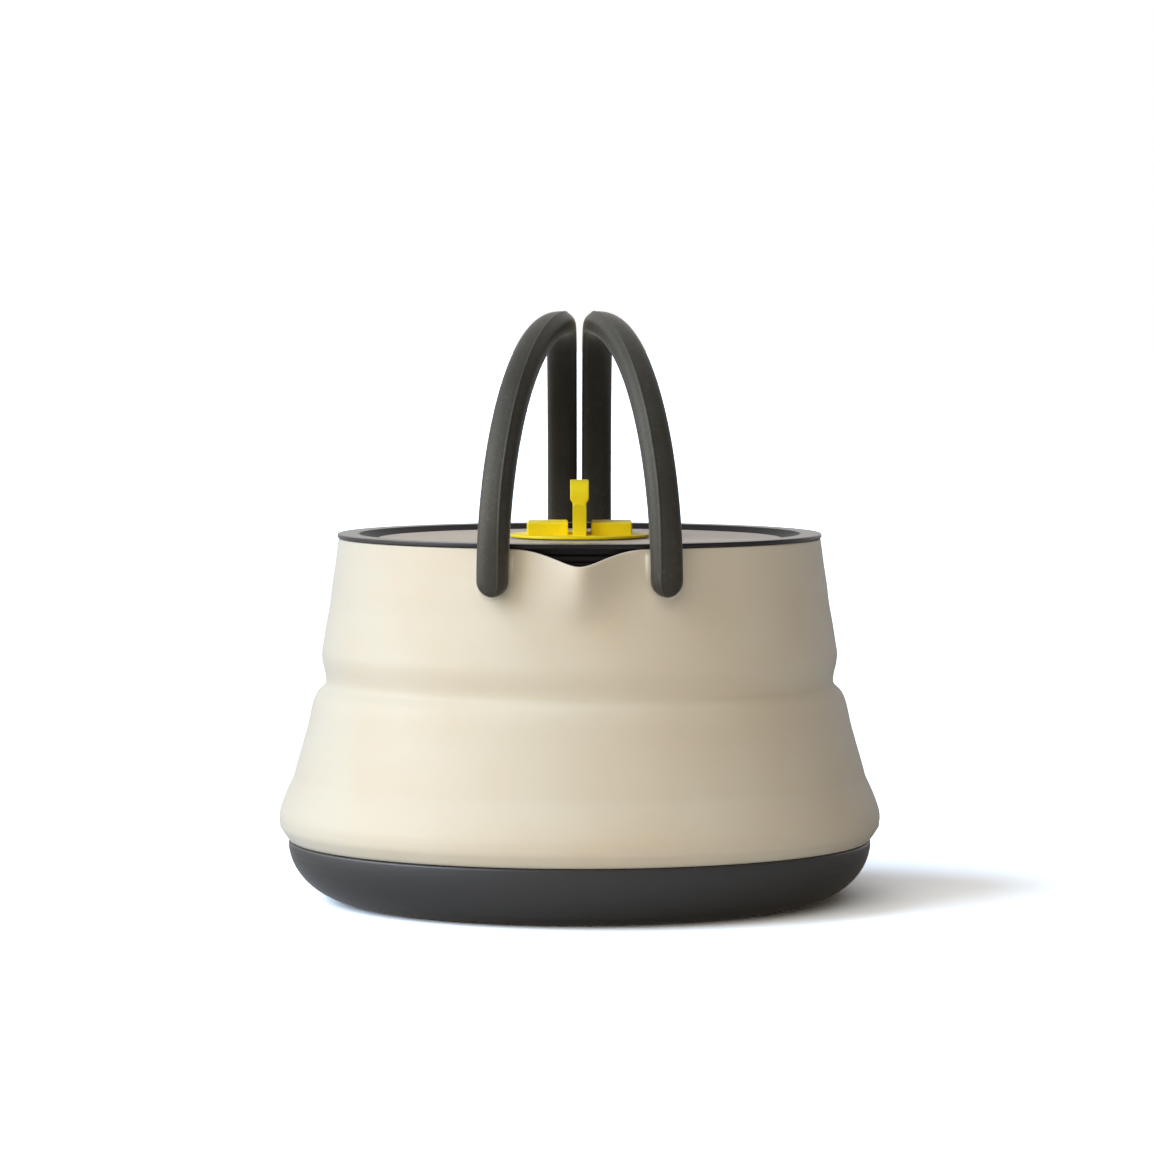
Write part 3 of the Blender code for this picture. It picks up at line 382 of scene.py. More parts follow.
def silicone_material(colours):
    """Moulded silicone rubber: soft and matt, with faint warm clouds and a blasted-mould grain."""
    material, tree, place = new_material("moulded_silicone_rubber")
    # Faint warm clouds, 26 mm wide, keep the wall from looking flat
    clouds = add_node(tree, "TexNoise", {"Vector": place, "Scale": 1 / (26 * MM), "Detail": 1.5})
    share = add_node(tree, "MapRange", {"Value": clouds, "From Min": 0.38, "From Max": 0.66})
    tone = add_node(tree, "Mix", {
        0: share, 6: tuple(colours.silicone), 7: tuple(colours.silicone_warm)}, 2, data_type="RGBA")
    # Patches of 2.6 mm break up the sheen, as handling does
    patches = add_node(tree, "TexNoise", {"Vector": place, "Scale": 1 / (2.6 * MM), "Detail": 2.0})
    roughness = add_node(tree, "MapRange", {"Value": patches, **NOISE_SPAN, "To Min": 0.5, "To Max": 0.62})
    # The blasted mould's grain is about 0.2 mm, drawn 0.7 mm wide so that it shows
    fine = add_node(tree, "TexNoise", {"Vector": place, "Scale": 1 / (0.7 * MM), "Detail": 3.0})
    normal = add_node(tree, "Bump", {"Height": fine, "Distance": 0.03 * MM, "Strength": 0.5})
    return surfaced(material, "BsdfPrincipled", {
        "Base Color": tone, "Roughness": roughness, "IOR": 1.41, "Subsurface Weight": 0.5,
        "Subsurface Radius": (1.0, 0.85, 0.68), "Subsurface Scale": 1.6 * MM, "Sheen Weight": 0.2,
        "Sheen Roughness": 0.45, "Sheen Tint": linear("#DDE9FF"), "Normal": normal})


def anodised_material(colours):
    """Hard-anodised aluminium, spun: dark satin oxide with fine turning lines round the axis."""
    material, tree, place = new_material("hard_anodised_aluminium")
    # Slightly darker clouds, 30 mm wide, as the dye takes unevenly
    tone = clouded(tree, place, 30, colours.anodised, (0.82,), most=0.35)
    # Turning lines are about 0.3 mm apart, drawn 0.9 mm apart so that they show
    radius = axis_distance(tree, place)
    height = add_node(tree, "SeparateXYZ", {0: place}, "Z")
    along = add_node(tree, "Math", {0: radius, 1: height}, operation="ADD")
    lines = add_node(tree, "TexNoise", {"W": along, "Scale": 1 / (0.9 * MM), "Detail": 3.0},
                     noise_dimensions="1D")
    roughness = add_node(tree, "MapRange", {"Value": lines, **NOISE_SPAN, "To Min": 0.42, "To Max": 0.5})
    lined = add_node(tree, "Bump", {"Height": lines, "Distance": 0.004 * MM, "Strength": 0.5})
    # The etched skin's grain, 0.5 mm wide, takes the mirror out of the metal
    etch = add_node(tree, "TexNoise", {"Vector": place, "Scale": 1 / (0.5 * MM), "Detail": 3.0})
    normal = add_node(tree, "Bump", {"Height": etch, "Distance": 0.02 * MM, "Strength": 0.5, "Normal": lined})
    # The oxide is a dark, clear mineral over the metal, so it mirrors like one and is a part metallic
    return surfaced(material, "BsdfPrincipled", {
        "Base Color": tone, "Metallic": 0.2, "Roughness": roughness, "Specular IOR Level": 1.0,
        "Normal": normal, "Sheen Weight": 0.2, "Sheen Roughness": 0.25, "Sheen Tint": linear("#FFFBF4")})


def nylon_material(colours):
    """Glass-filled nylon, moulded in a spark-eroded tool: dark grey, matt, with faint pale fibre flecks."""
    material, tree, place = new_material("glass_filled_nylon")
    # Cloudy patches, 11 mm wide, where the mould's texture has worn
    base = clouded(tree, place, 11, colours.nylon, (0.8,))
    # Glass fibres are about 0.2 mm long, drawn 1 mm long so that they show
    flecks = add_node(tree, "TexNoise", {
        "Vector": place, "Scale": 1 / (1.0 * MM), "Detail": 4.0, "Distortion": 0.8})
    flecked = add_node(tree, "MapRange", {"Value": flecks, "From Min": 0.56, "From Max": 0.72, "To Max": 0.6})
    tone = add_node(tree, "Mix", {0: flecked, 6: base, 7: shaded(colours.nylon, 1.6)}, 2, data_type="RGBA")
    # Spark erosion leaves pits of 0.1 mm, drawn 0.6 mm wide so that they show
    _, roughness, normal = surface_grain(tree, place, 0.6, (0.46, 0.58), 0.05, 0.9)
    return surfaced(material, "BsdfPrincipled", {
        "Base Color": tone, "Roughness": roughness, "IOR": 1.5, "Specular Tint": linear("#FFEED2"),
        "Normal": normal, "Sheen Weight": 0.45, "Sheen Roughness": 0.2, "Sheen Tint": linear("#FFF6E0")})


def lid_material(colours):
    """Moulded copolyester, smoke grey: satin floor and flange, pale edge-on, round a cove painted dark, its
    reflection all but turned off.
    """
    material, tree, place = new_material("smoke_copolyester")
    # The satin tool's grain is about 0.1 mm, drawn 0.7 mm wide so that it shows
    tone = clouded(tree, place, 0.7, colours.smoke, (0.8,), detail=3.0)
    # The cove lies between the floor, 53 mm from the axis, and the flange, at 58.3 mm
    radius = axis_distance(tree, place)
    floor_share = add_node(tree, "MapRange", {
        "Value": radius, "From Min": 52.6 * MM, "From Max": 53.2 * MM, "To Min": 1.0, "To Max": 0.0})
    flange_share = add_node(tree, "MapRange", {"Value": radius, "From Min": 57.9 * MM, "From Max": 58.7 * MM})
    satin_share = add_node(tree, "Math", {0: floor_share, 1: flange_share}, operation="ADD")
    # Painted shade: the cove between floor and flange keeps almost no reflection, so that it shows dark
    reflection_painted_dark_in_cove = add_node(tree, "MapRange", {"Value": satin_share, "To Min": 0.003, "To Max": 0.5})
    # Hairlines along the way it has been wiped
    stretch = add_node(tree, "Mapping", {"Vector": place, "Rotation": (0, 0, 0.6), "Scale": (1, 0.06, 1)})
    hairs = add_node(tree, "TexNoise", {"Vector": stretch, "Scale": 1 / (0.6 * MM), "Detail": 4.0})
    roughness = add_node(tree, "MapRange", {
        "Value": hairs, "From Min": 0.55, "From Max": 0.8, "To Min": 0.32, "To Max": 0.36})
    # The sheen stands for the satin grain seen edge-on, full on the floor and less on the flange
    sheen = add_node(tree, "Math", {0: flange_share, 1: 0.35, 2: floor_share}, operation="MULTIPLY_ADD")
    return surfaced(material, "BsdfPrincipled", {
        "Base Color": tone, "Roughness": roughness, "IOR": 1.55, "Specular IOR Level": reflection_painted_dark_in_cove,
        "Sheen Weight": sheen, "Sheen Roughness": 0.3, "Sheen Tint": linear("#FFF6EC")})


def yellow_material(colours):
    """Moulded nylon in yellow, satin: the fine grain of the tool and a little light let through."""
    material, tree, place = new_material("satin_yellow_nylon")
    # Slightly deeper clouds, 8 mm wide, as the colour flows in the mould
    tone = clouded(tree, place, 8, colours.yellow, (0.97, 0.95, 0.85))
    # The tool's grain, 0.6 mm wide, softens the shine
    _, roughness, normal = surface_grain(tree, place, 0.6, (0.42, 0.5), 0.02, 0.5)
    return surfaced(material, "BsdfPrincipled", {
        "Base Color": tone, "Roughness": roughness, "IOR": 1.4, "Subsurface Weight": 0.15,
        "Subsurface Radius": (1.0, 0.8, 0.2), "Subsurface Scale": 0.8 * MM, "Normal": normal})


def steel_material(colours):
    """Drawn stainless steel: bright, with fine lines that dull its shine."""
    material, tree, place = new_material("drawn_stainless_steel")
    lines, roughness, normal = surface_grain(tree, place, 0.3, (0.22, 0.36), 0.01, 0.4)
    tone = add_node(tree, "Mix", {
        0: lines, 6: tuple(colours.steel), 7: shaded(colours.steel, 0.85)}, 2, data_type="RGBA")
    return surfaced(material, "BsdfPrincipled", {
        "Base Color": tone, "Metallic": 1.0, "Roughness": roughness, "Normal": normal})


def seal_material(colours):
    """Moulded silicone seal: nearly black and matt, with a pale dust in its grain."""
    material, tree, place = new_material("moulded_silicone_seal")
    dust, roughness, normal = surface_grain(tree, place, 1.4, (0.5, 0.65), 0.02, 0.5)
    dusty = add_node(tree, "MapRange", {"Value": dust, **NOISE_SPAN, "To Max": 0.5})
    tone = add_node(tree, "Mix", {
        0: dusty, 6: tuple(colours.seal), 7: shaded(colours.seal, 1.6)}, 2, data_type="RGBA")
    return surfaced(material, "BsdfPrincipled", {
        "Base Color": tone, "Roughness": roughness, "IOR": 1.41, "Normal": normal})


# How bright the floor is in the light that it throws back on the kettle, in mirrors, and to the camera
FLOOR_BOUNCE = 0.95
FLOOR_MIRRORED = 0.5
FLOOR_SEEN = 3.0
# The camera's floor is as much cooler as the light in the shadow is warm, so that the shadow is neutral
FLOOR_COOLED = (0.95, 1.04, 1.12, 1)


def floor_material(colours):
    """Matt studio paper. The camera sees it brighter, to meet the white backdrop, and mirrors dimmer."""
    material, tree, place = new_material("studio_paper")
    camera_ray, mirrored = ray_kinds(tree)
    # Paper fibres, 6 mm wide, barely show
    fibres = add_node(tree, "TexNoise", {"Vector": place, "Scale": 1 / (6 * MM)})
    tone = add_node(tree, "Mix", {
        0: fibres, 6: tuple(colours.floor), 7: shaded(colours.floor, 0.985)}, 2, data_type="RGBA")
    bounced = add_node(tree, "MapRange", {
        "Value": mirrored, "To Min": FLOOR_BOUNCE, "To Max": FLOOR_MIRRORED})
    brightness = add_node(tree, "MapRange", {"Value": camera_ray, "To Min": bounced, "To Max": FLOOR_SEEN})
    tone = add_node(tree, "VectorMath", {0: tone, "Scale": brightness}, operation="SCALE")
    cooled = add_node(tree, "Mix", {0: camera_ray, 6: (1, 1, 1, 1), 7: FLOOR_COOLED}, 2, data_type="RGBA")
    tone = add_node(tree, "VectorMath", {0: tone, 1: cooled}, operation="MULTIPLY")
    return surfaced(material, "BsdfDiffuse", {"Color": tone})


# The camera fitted to the photo: place in metres, tilt down and lens
CAMERA_PLACE = (-0.0008, -1.3665, 0.1606)
CAMERA_TILT_DEG = 3.16
CAMERA_LENS_MM = 162.2
SENSOR_WIDTH_MM = 36
# Lamps as (name, azimuth, elevation, width in degrees, strength, colour); azimuth 0 is behind the camera
LAMPS = (
    ("key", -74, 35, 56, 2.84, "#D1E4FF"),
    ("front_fill", -18, 14, 70, 1.73, "#FFF5E8"),
    ("overhead", -20, 80, 90, 0.4, "#E2ECFF"),
)
# Light from all round, and how bright mirrors see the room and the white panel on its left
AMBIENT = 0.06
AMBIENT_COLOUR = "#FFD8AC"
STUDIO_MIRRORED = 0.1
PANEL_MIRRORED = 3.0
FLOOR_HALF_WIDTH = 12


class KETTLE_OT_stage(bpy.types.Operator):
    """Sets the floor, the soft lamps, the white backdrop and the camera"""
    bl_idname = "kettle.stage"
    bl_label = "Stage"

    def execute(self, context):
        scene = context.scene
        bm = bmesh.new()
        bmesh.ops.create_grid(bm, x_segments=8, y_segments=8, size=FLOOR_HALF_WIDTH)
        floor = new_piece("studio_floor", bm, floor_material(scene.kettle_colours))
        for lamp in LAMPS:
            self.add_lamp(scene, *lamp)
        self.add_backdrop(scene)
        self.add_camera(scene)
        scene.view_settings.view_transform = "Standard"
        return {"FINISHED"}

    def add_lamp(self, scene, name, azimuth, elevation, width, strength, code):
        """Adds a soft lamp that shines from its direction."""
        lamp = bpy.data.lights.new(name, "SUN")
        lamp.angle = math.radians(width)
        lamp.energy = strength
        lamp.color = linear(code)[:3]
        holder = bpy.data.objects.new(name, lamp)
        turn, lift = math.radians(azimuth), math.radians(elevation)
        to_lamp = Vector((math.sin(turn) * math.cos(lift), -math.cos(turn) * math.cos(lift), math.sin(lift)))
        holder.rotation_euler = to_lamp.to_track_quat("Z", "Y").to_euler()
        # Only the key's large soft box is broad enough to show in shiny pieces
        holder.visible_glossy = name == "key"
        scene.collection.objects.link(holder)

    def add_backdrop(self, scene):
        """Sets a world that the camera sees white, and that lights and mirrors as a dim studio does."""
        world = bpy.data.worlds.new("white_backdrop")
        scene.world = world
        world.use_nodes = True
        tree = world.node_tree
        tree.nodes.clear()
        camera_ray, mirrored = ray_kinds(tree)
        seen = add_node(tree, "Math", {0: camera_ray, 1: mirrored}, operation="MAXIMUM")
        # Mirrors see the backdrop behind the kettle, a white panel on its left, and a dim studio elsewhere
        direction = add_node(tree, "TexCoord", {}, "Object")
        backward = add_node(tree, "SeparateXYZ", {0: direction}, "Y")
        backdrop = add_node(tree, "MapRange", {
            "Value": backward, "From Min": 0.3, "From Max": 0.9, "To Min": STUDIO_MIRRORED})
        rightward = add_node(tree, "SeparateXYZ", {0: direction}, "X")
        panel = add_node(tree, "MapRange", {
            "Value": rightward, "From Min": -1.0, "From Max": -0.65, "To Min": PANEL_MIRRORED, "To Max": 0.0})
        studio = add_node(tree, "Math", {0: backdrop, 1: panel}, operation="MAXIMUM")
        unseen = add_node(tree, "MapRange", {"Value": mirrored, "To Min": AMBIENT, "To Max": studio})
        strength = add_node(tree, "MapRange", {"Value": camera_ray, "To Min": unseen})
        tone = add_node(tree, "Mix", {
            0: seen, 6: linear(AMBIENT_COLOUR), 7: (1, 1, 1, 1)}, 2, data_type="RGBA")
        background = add_node(tree, "Background", {"Color": tone, "Strength": strength})
        add_node(tree, "OutputWorld", {"Surface": background})

    def add_camera(self, scene):
        """Adds the camera at its fitted place."""
        camera_data = bpy.data.cameras.new("camera")
        camera_data.sensor_width = SENSOR_WIDTH_MM
        camera_data.lens = CAMERA_LENS_MM
        camera_data.clip_start = 0.05
        camera_data.clip_end = 100
        camera = bpy.data.objects.new("camera", camera_data)
        camera.location = CAMERA_PLACE
        camera.rotation_euler = (math.radians(90 - CAMERA_TILT_DEG), 0, 0)
        scene.collection.objects.link(camera)
        scene.camera = camera


# From a rear foot's inner face to its back
REAR_FOOT_THICKNESS = 0.0066


def pivots():
    """Each pivot's side, point on its foot's inner face and outward axis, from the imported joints."""
    joints = {joint["name"]: joint for joint in frame["joints"]}
    places = []
    for side_name, side in SIDES:
        joint = joints[f"{side_name}_handle_fold"]
        front = Vector(joint["pos_m"])
        outward = Vector(joint["axis"]) * (1 if joint["axis"][1] < 0 else -1)
        rear_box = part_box(f"handle_{side_name}")
        rear = front - outward * ((rear_box[1].y - front.y - REAR_FOOT_THICKNESS) / abs(outward.y))
        places += [(side, front, outward), (side, rear, -outward)]
    return places


class KETTLE_OT_wall(bpy.types.Operator):
    """Builds the silicone wall as one continuous moulding with its spout and the pads behind the handles"""
    bl_idname = "kettle.wall"
    bl_label = "Silicone wall"

    # The pads, in mm: heights, fade at the top, edge, gap to the foot, drop of the round end, recess round
    # the bush, and how deep into the wall and how far from a foot a pad moves anything
    pad_low, pad_high = 78, 95.35
    fade_low, fade = 92.6, 2.2
    pad_edge, pad_gap, pad_drop = 0.35, 0.6, 0.6
    recess_radius, recess_depth = 3.6, 0.8
    skin, reach = 0.9, 20
    # The hem inside the rim, in mm: its underside, outer radius, and how far it runs back at the spout
    hem_low, hem_radius, hem_retreat = 93.8, 61.3, 1.2

    def execute(self, context):
        sizes = context.scene.kettle_sizes
        outer = flowing(WALL_LINE, 0.5)
        foot = [point for point in outer if point.y < 80]
        # Rows are closer together behind the handles, where the pads rise
        top = [point for point in outer if 80 <= point.y < 95.0]
        outer_line = [(point.y, point.x) for point in outer]

        def inner_face(height):
            return between(outer_line, height) - between(WALL_THICKNESS, height), height, 0

        inner = []
        height = 23.4
        while height < 81.0:
            inner.append(inner_face(height))
            height += 1.3
        # Up the outside, over the rim and hem, down to the ring's ledge and the bead under the pan's lip
        corners = [(point.x, point.y, 0) for point in foot[::2] + top]
        corners += [
            (63.4, 95.4, 0.3), (60.1, 95.4, 0.4), (60.1, 94.0, 0.2), inner_face(94.0), inner_face(87.7),
            inner_face(82.5), (61.5, 82.5, 0.3), (61.5, 81.6, 0.3)]
        corners += reversed(inner)
        corners += [
            (74.2, 22.3, 0.2), (74.2, 21.3, 0.2), (76.9, 21.3, 0), (76.9, 17.9, 0), (75.1, 17.9, 0.2),
            (75.1, 16.3, 0.2)]
        # Fine columns in front, for the spout and two pads, and behind, for the other two pads
        sectors = ((60, 240), (140.5, 96), (19, 72), (140.5, 96))
        bm = turned(filleted(corners), sectors, start_deg=-120)
        self.raise_pads(bm, sizes, outer_line)
        self.draw_spout(bm, sizes)
        bmesh.ops.recalc_face_normals(bm, faces=bm.faces)
        wall = new_piece("silicone_wall", bm, silicone_material(context.scene.kettle_colours), sharp_deg=60)
        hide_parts("wall_foot", "wall_fold", "wall_upper")
        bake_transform(wall)
        return {"FINISHED"}

    def raise_pads(self, bm, sizes, outer_line):
        """Lifts a flat, U-shaped pad out of the wall behind each handle foot, with a round edge."""
        places = pivots()
        for vert in bm.verts:
            height = vert.co.z / MM
            if not self.pad_low < height < self.pad_high:
                continue
            if vert.co.xy.length / MM < between(outer_line, height) - self.skin:
                continue
            for _, face, outward in places:
                offset = vert.co - face
                if offset.dot(outward) < -self.reach * MM:
                    continue
                across = abs(offset.x * outward.y - offset.y * outward.x)
                edge = math.hypot(across, min(offset.z + self.pad_drop * MM, 0))
                weight = smooth_step(1 - (edge - sizes.pad_radius) / (self.pad_edge * MM))
                weight *= 1 - smooth_step((height - self.fade_low) / self.fade)
                lift = -self.pad_gap * MM - offset.dot(outward)
                if math.hypot(across, offset.z) < self.recess_radius * MM:
                    lift -= self.recess_depth * MM
                vert.co += outward * (max(lift, 0) * weight)

    def draw_spout(self, bm, sizes):
        """Draws the front of the wall out to a narrow ridge and dips its lip."""
        tip, half = sizes.spout_tip, sizes.spout_half_width
        reach = math.hypot(half, tip) - tip
        top_z = WALL_LINE[-1][1] * MM
        foot_z = top_z - sizes.spout_depth
        for vert in bm.verts:
            if vert.co.y > 0 or vert.co.z < foot_z:
                continue
            rise = smooth_step((vert.co.z - foot_z) / sizes.spout_depth)
            rounded = math.hypot(vert.co.x, tip) - tip
            bell = max(0.0, 1 - rounded / reach) ** 2
            if vert.co.z > self.hem_low * MM and vert.co.xy.length < self.hem_radius * MM:
                # The hem runs back into the wall at the spout, so that the lip stays thin
                vert.co.y -= self.hem_retreat * MM * smooth_step(2 - 2 * abs(vert.co.x) / half)
            vert.co.y -= sizes.spout_reach * bell * rise
            vert.co.z -= sizes.spout_dip * bell * rise


class KETTLE_OT_pan(bpy.types.Operator):
    """Builds the spun, hard-anodised pan, and dresses the hoop that holds the silicone on it"""
    bl_idname = "kettle.pan"
    bl_label = "Pan"

    corner_steps = 14

    def execute(self, context):
        colours = context.scene.kettle_colours
        quarter = [math.radians(90 * step / self.corner_steps) for step in range(self.corner_steps + 1)]
        # The round corner is a quarter of an ellipse, inside and out
        inside = [(57.8 + 17.6 * math.sin(angle), 2.0 + 12.6 * (1 - math.cos(angle)), 0) for angle in quarter]
        outside = [(57.8 + 19.0 * math.cos(angle), 16.0 * (1 - math.sin(angle)), 0) for angle in quarter[1:]]
        # Out over the floor, up the neck, over the rolled lip, and back below
        corners = [
            (0, 2.0, 0), (20, 2.0, 0), (40, 2.0, 0), *inside, (73.4, 17.4, 0.5), (73.4, 21.0, 0.3),
            (76.6, 21.0, 0.45), (76.6, 20.0, 0.3), (74.8, 20.0, 0.3), (74.8, 16.0, 0.3),
            (76.75, 16.0, 0.5), *outside, (40.0, 0, 0.3), (39.4, 0.4, 0.2), (0, 0.4, 0)]
        bm = turned(filleted(corners), ((360, context.scene.kettle_sizes.round_steps),), closed=False)
        pan = new_piece("pan", bm, anodised_material(colours))
        place_piece(pan, "base", "anodised", "base_pan")
        dress_nodes(steel_material(colours), "bead_hoop")
        return {"FINISHED"}


class KETTLE_OT_rim(bpy.types.Operator):
    """Dresses the rim ring, its bushes and the handles' pivot pins"""
    bl_idname = "kettle.rim"
    bl_label = "Rim ring and pivots"

    def execute(self, context):
        colours = context.scene.kettle_colours
        dress_nodes(nylon_material(colours), "rim_ring")
        steel = steel_material(colours)
        for end in ("front_left", "rear_left", "front_right", "rear_right"):
            dress_nodes(steel, "bush_" + end, "pin_" + end)
        return {"FINISHED"}


class KETTLE_OT_handles(bpy.types.Operator):
    """Sweeps the two half-arch handles from their rounded feet over the top"""
    bl_idname = "kettle.handles"
    bl_label = "Handles"

    # The arch, seen from above: how round it bends, and how far up the feet are twisted
    arch_steps = 96
    bend, twist_length = 8.0 * MM, 25 * MM
    # The round ends below the pivots
    end_drop, end_steps, end_sweep_deg, end_squareness = 4.2 * MM, 12, 88, 5
    # The section, and how its outer face falls away on each side of the parting line's ridge
    section_steps = 120
    outer_squareness, inner_squareness = 2.5, 3.3
    ridge_across, ridge_bead, ridge_half_width = -1.9 * MM, 0.22 * MM, 0.4 * MM
    inner_fall, inner_run = 0.6 * MM, 2.15 * MM
    outer_fall, outer_run = 0.4 * MM, 5 * MM
    # The pin's blind bore in mm: radius, start and depth
    bore = (1.8, -3, 4.9)

    def execute(self, context):
        sizes = context.scene.kettle_sizes
        material = nylon_material(context.scene.kettle_colours)
        for side_name, side in SIDES:
            feet = [(face, outward) for at, face, outward in pivots() if at == side]
            # Both are swept on the right, and the left one is mirrored
            mirror = Vector((side, 1, 1))
            bm = self.sweep(sizes, *[face * mirror for face, _ in feet])
            bmesh.ops.scale(bm, vec=mirror, verts=bm.verts)
            bmesh.ops.recalc_face_normals(bm, faces=bm.faces)
            handle = new_piece(f"{side_name}_handle", bm, material, sharp_deg=50)
            bores = []
            for face, outward in feet:
                place = Matrix.Translation(face) @ outward.to_track_quat("Z", "Y").to_matrix().to_4x4()
                bores.append(rod(*self.bore, place))
            combine(handle, "DIFFERENCE", *bores, sharp_deg=50)
            place_piece(handle, f"{side_name}_handle", "nylon", f"handle_{side_name}")
        return {"FINISHED"}

    def plan(self, front, rear, y):
        """How far the arch is from the middle plane at y, and its slope: straight legs and a bend."""
        def spread(at):
            distance = math.hypot(at, self.bend)
            return (distance - at) / 2, (at / distance - 1) / 2
        scale = (front.x - rear.x) / (spread(front.y)[0] - spread(rear.y)[0])
        here, slope = spread(y)
        return rear.x + scale * (here - spread(rear.y)[0]), scale * slope

    def stations(self, sizes, front, rear):
        """A matrix for each station: across, out and along the handle, then its centre."""
        outward = (front - rear).normalized()
        front_centre = front + outward * (sizes.handle_thickness / 2)
        rear_centre = rear - outward * (sizes.handle_thickness / 2)
        foot_heading = math.atan2(-outward.x, -outward.y)
        frames = []
        for step in range(self.arch_steps + 1):
            angle = math.pi * step / self.arch_steps
            reach = -front_centre.y if step * 2 <= self.arch_steps else rear_centre.y
            y = -reach * math.cos(angle)
            x, slope = self.plan(front_centre, rear_centre, y)
            rise = sizes.handle_rise * math.sin(angle)
            twist = smooth_step(rise / self.twist_length)
            heading = foot_heading + (math.atan(slope) - foot_heading) * twist
            travel = Vector((reach * math.sin(angle), sizes.handle_rise * math.cos(angle))).normalized()
            frames.append((Vector((x, y, front.z + rise)), heading, travel.x, travel.y, 1, 1))
        ends = []
        for step in range(1, self.end_steps + 1):
            share = math.sin(math.radians(self.end_sweep_deg * step / self.end_steps))
            thick = (1 - share ** self.end_squareness) ** (1 / self.end_squareness)
            ends.append((Vector((0, 0, share * self.end_drop)), math.sqrt(1 - share ** 2), thick))
        start, end = frames[0], frames[-1]
        frames = [(start[0] - drop, start[1], 0, 1, *size) for drop, *size in reversed(ends)] + frames
        frames += [(end[0] - drop, end[1], 0, -1, *size) for drop, *size in ends]
        matrices = []
        for centre, heading, forward, up, wide, thick in frames:
            across = Vector((math.cos(heading), -math.sin(heading), 0))
            ahead = Vector((math.sin(heading), math.cos(heading), 0))
            out = ahead * -up + Vector((0, 0, forward))
            turn = Matrix((across * wide, out * thick, across.cross(out))).transposed()
            matrices.append(Matrix.Translation(centre) @ turn.to_4x4())
        return matrices

    def sweep(self, sizes, front, rear):
        """Extrudes the handle's section from station to station."""
        bm = bmesh.new()
        bmesh.ops.create_circle(bm, segments=self.section_steps, radius=1)
        for vert in bm.verts:
            power = 2 / (self.outer_squareness if vert.co.y > 0 else self.inner_squareness)
            across = math.copysign(abs(vert.co.x) ** power, vert.co.x) * sizes.handle_width / 2
            out = math.copysign(abs(vert.co.y) ** power, vert.co.y) * sizes.handle_thickness / 2
            if out > 0:
                # The outer face falls away from the parting line, a fine bead, most on the inner side
                away = abs(across - self.ridge_across)
                if across < self.ridge_across:
                    fall = away / self.inner_run * self.inner_fall
                else:
                    fall = away / self.outer_run * self.outer_fall
                out -= fall * out / (sizes.handle_thickness / 2)
                out += self.ridge_bead * (max(0, 1 - away / self.ridge_half_width) - 1)
            vert.co = Vector((across, out, 0))
        matrices = self.stations(sizes, front, rear)
        bmesh.ops.transform(bm, matrix=matrices[0], verts=bm.verts)
        edges = list(bm.edges)
        bmesh.ops.contextual_create(bm, geom=edges)
        for before, after in zip(matrices, matrices[1:]):
            grown = bmesh.ops.extrude_edge_only(bm, edges=edges)["geom"]
            verts = [item for item in grown if isinstance(item, bmesh.types.BMVert)]
            edges = [item for item in grown if isinstance(item, bmesh.types.BMEdge)]
            bmesh.ops.transform(bm, matrix=after @ before.inverted(), verts=verts)
        bmesh.ops.contextual_create(bm, geom=edges)
        return bm


class KETTLE_OT_lid(bpy.types.Operator):
    """Builds the dished lid with its skirt and strainer slots, and the seal round the skirt"""
    bl_idname = "kettle.lid"
    bl_label = "Lid and seal"

    def execute(self, context):
        colours = context.scene.kettle_colours
        sectors = ((360, context.scene.kettle_sizes.round_steps),)
        # Round the flange, down the skirt and its groove, up inside it, and round the floor to the cove
        corners = [
            (58.4, 96.7, 0.3), (63.7, 96.7, 0.25), (63.7, 95.75, 0.1), (63.0, 95.7, 0), (63.0, 95.44, 0.05),
            (60.4, 95.44, 0.05), (60.4, 95.7, 0.05), (58.9, 95.7, 0.2), (58.9, 93.9, 0.15),
            (57.9, 93.9, 0.1), (57.9, 91.7, 0.1), (58.9, 91.7, 0.15), (58.9, 89.5, 0.4), (56.6, 89.5, 0.4),
            (56.6, 93.6, 0.5), (3.3, 93.6, 0.1), (3.3, 95.4, 0.1), (20, 95.4, 0), (38, 95.4, 0),
            (53.2, 95.4, 0.8)]
        bm = turned(filleted(corners), sectors)
        lid = new_piece("lid", bm, lid_material(colours))
        slots = [block((2.0, 12, 3.4), (place * 4.4, -58, 89.5), 0.3) for place in range(-2, 3)]
        combine(lid, "DIFFERENCE", *slots)
        place_piece(lid, "lid", "smoke_lid", "lid_shell")
        ring = [
            (58.2, 93.6, 0.15), (59.2, 93.5, 0.3), (59.6, 92.8, 0.3), (59.2, 92.1, 0.3), (58.2, 92.0, 0.15)]
        seal = new_piece("seal", turned(filleted(ring), sectors), seal_material(colours))
        place_piece(seal, "lid", "seal", "lid_seal")
        return {"FINISHED"}


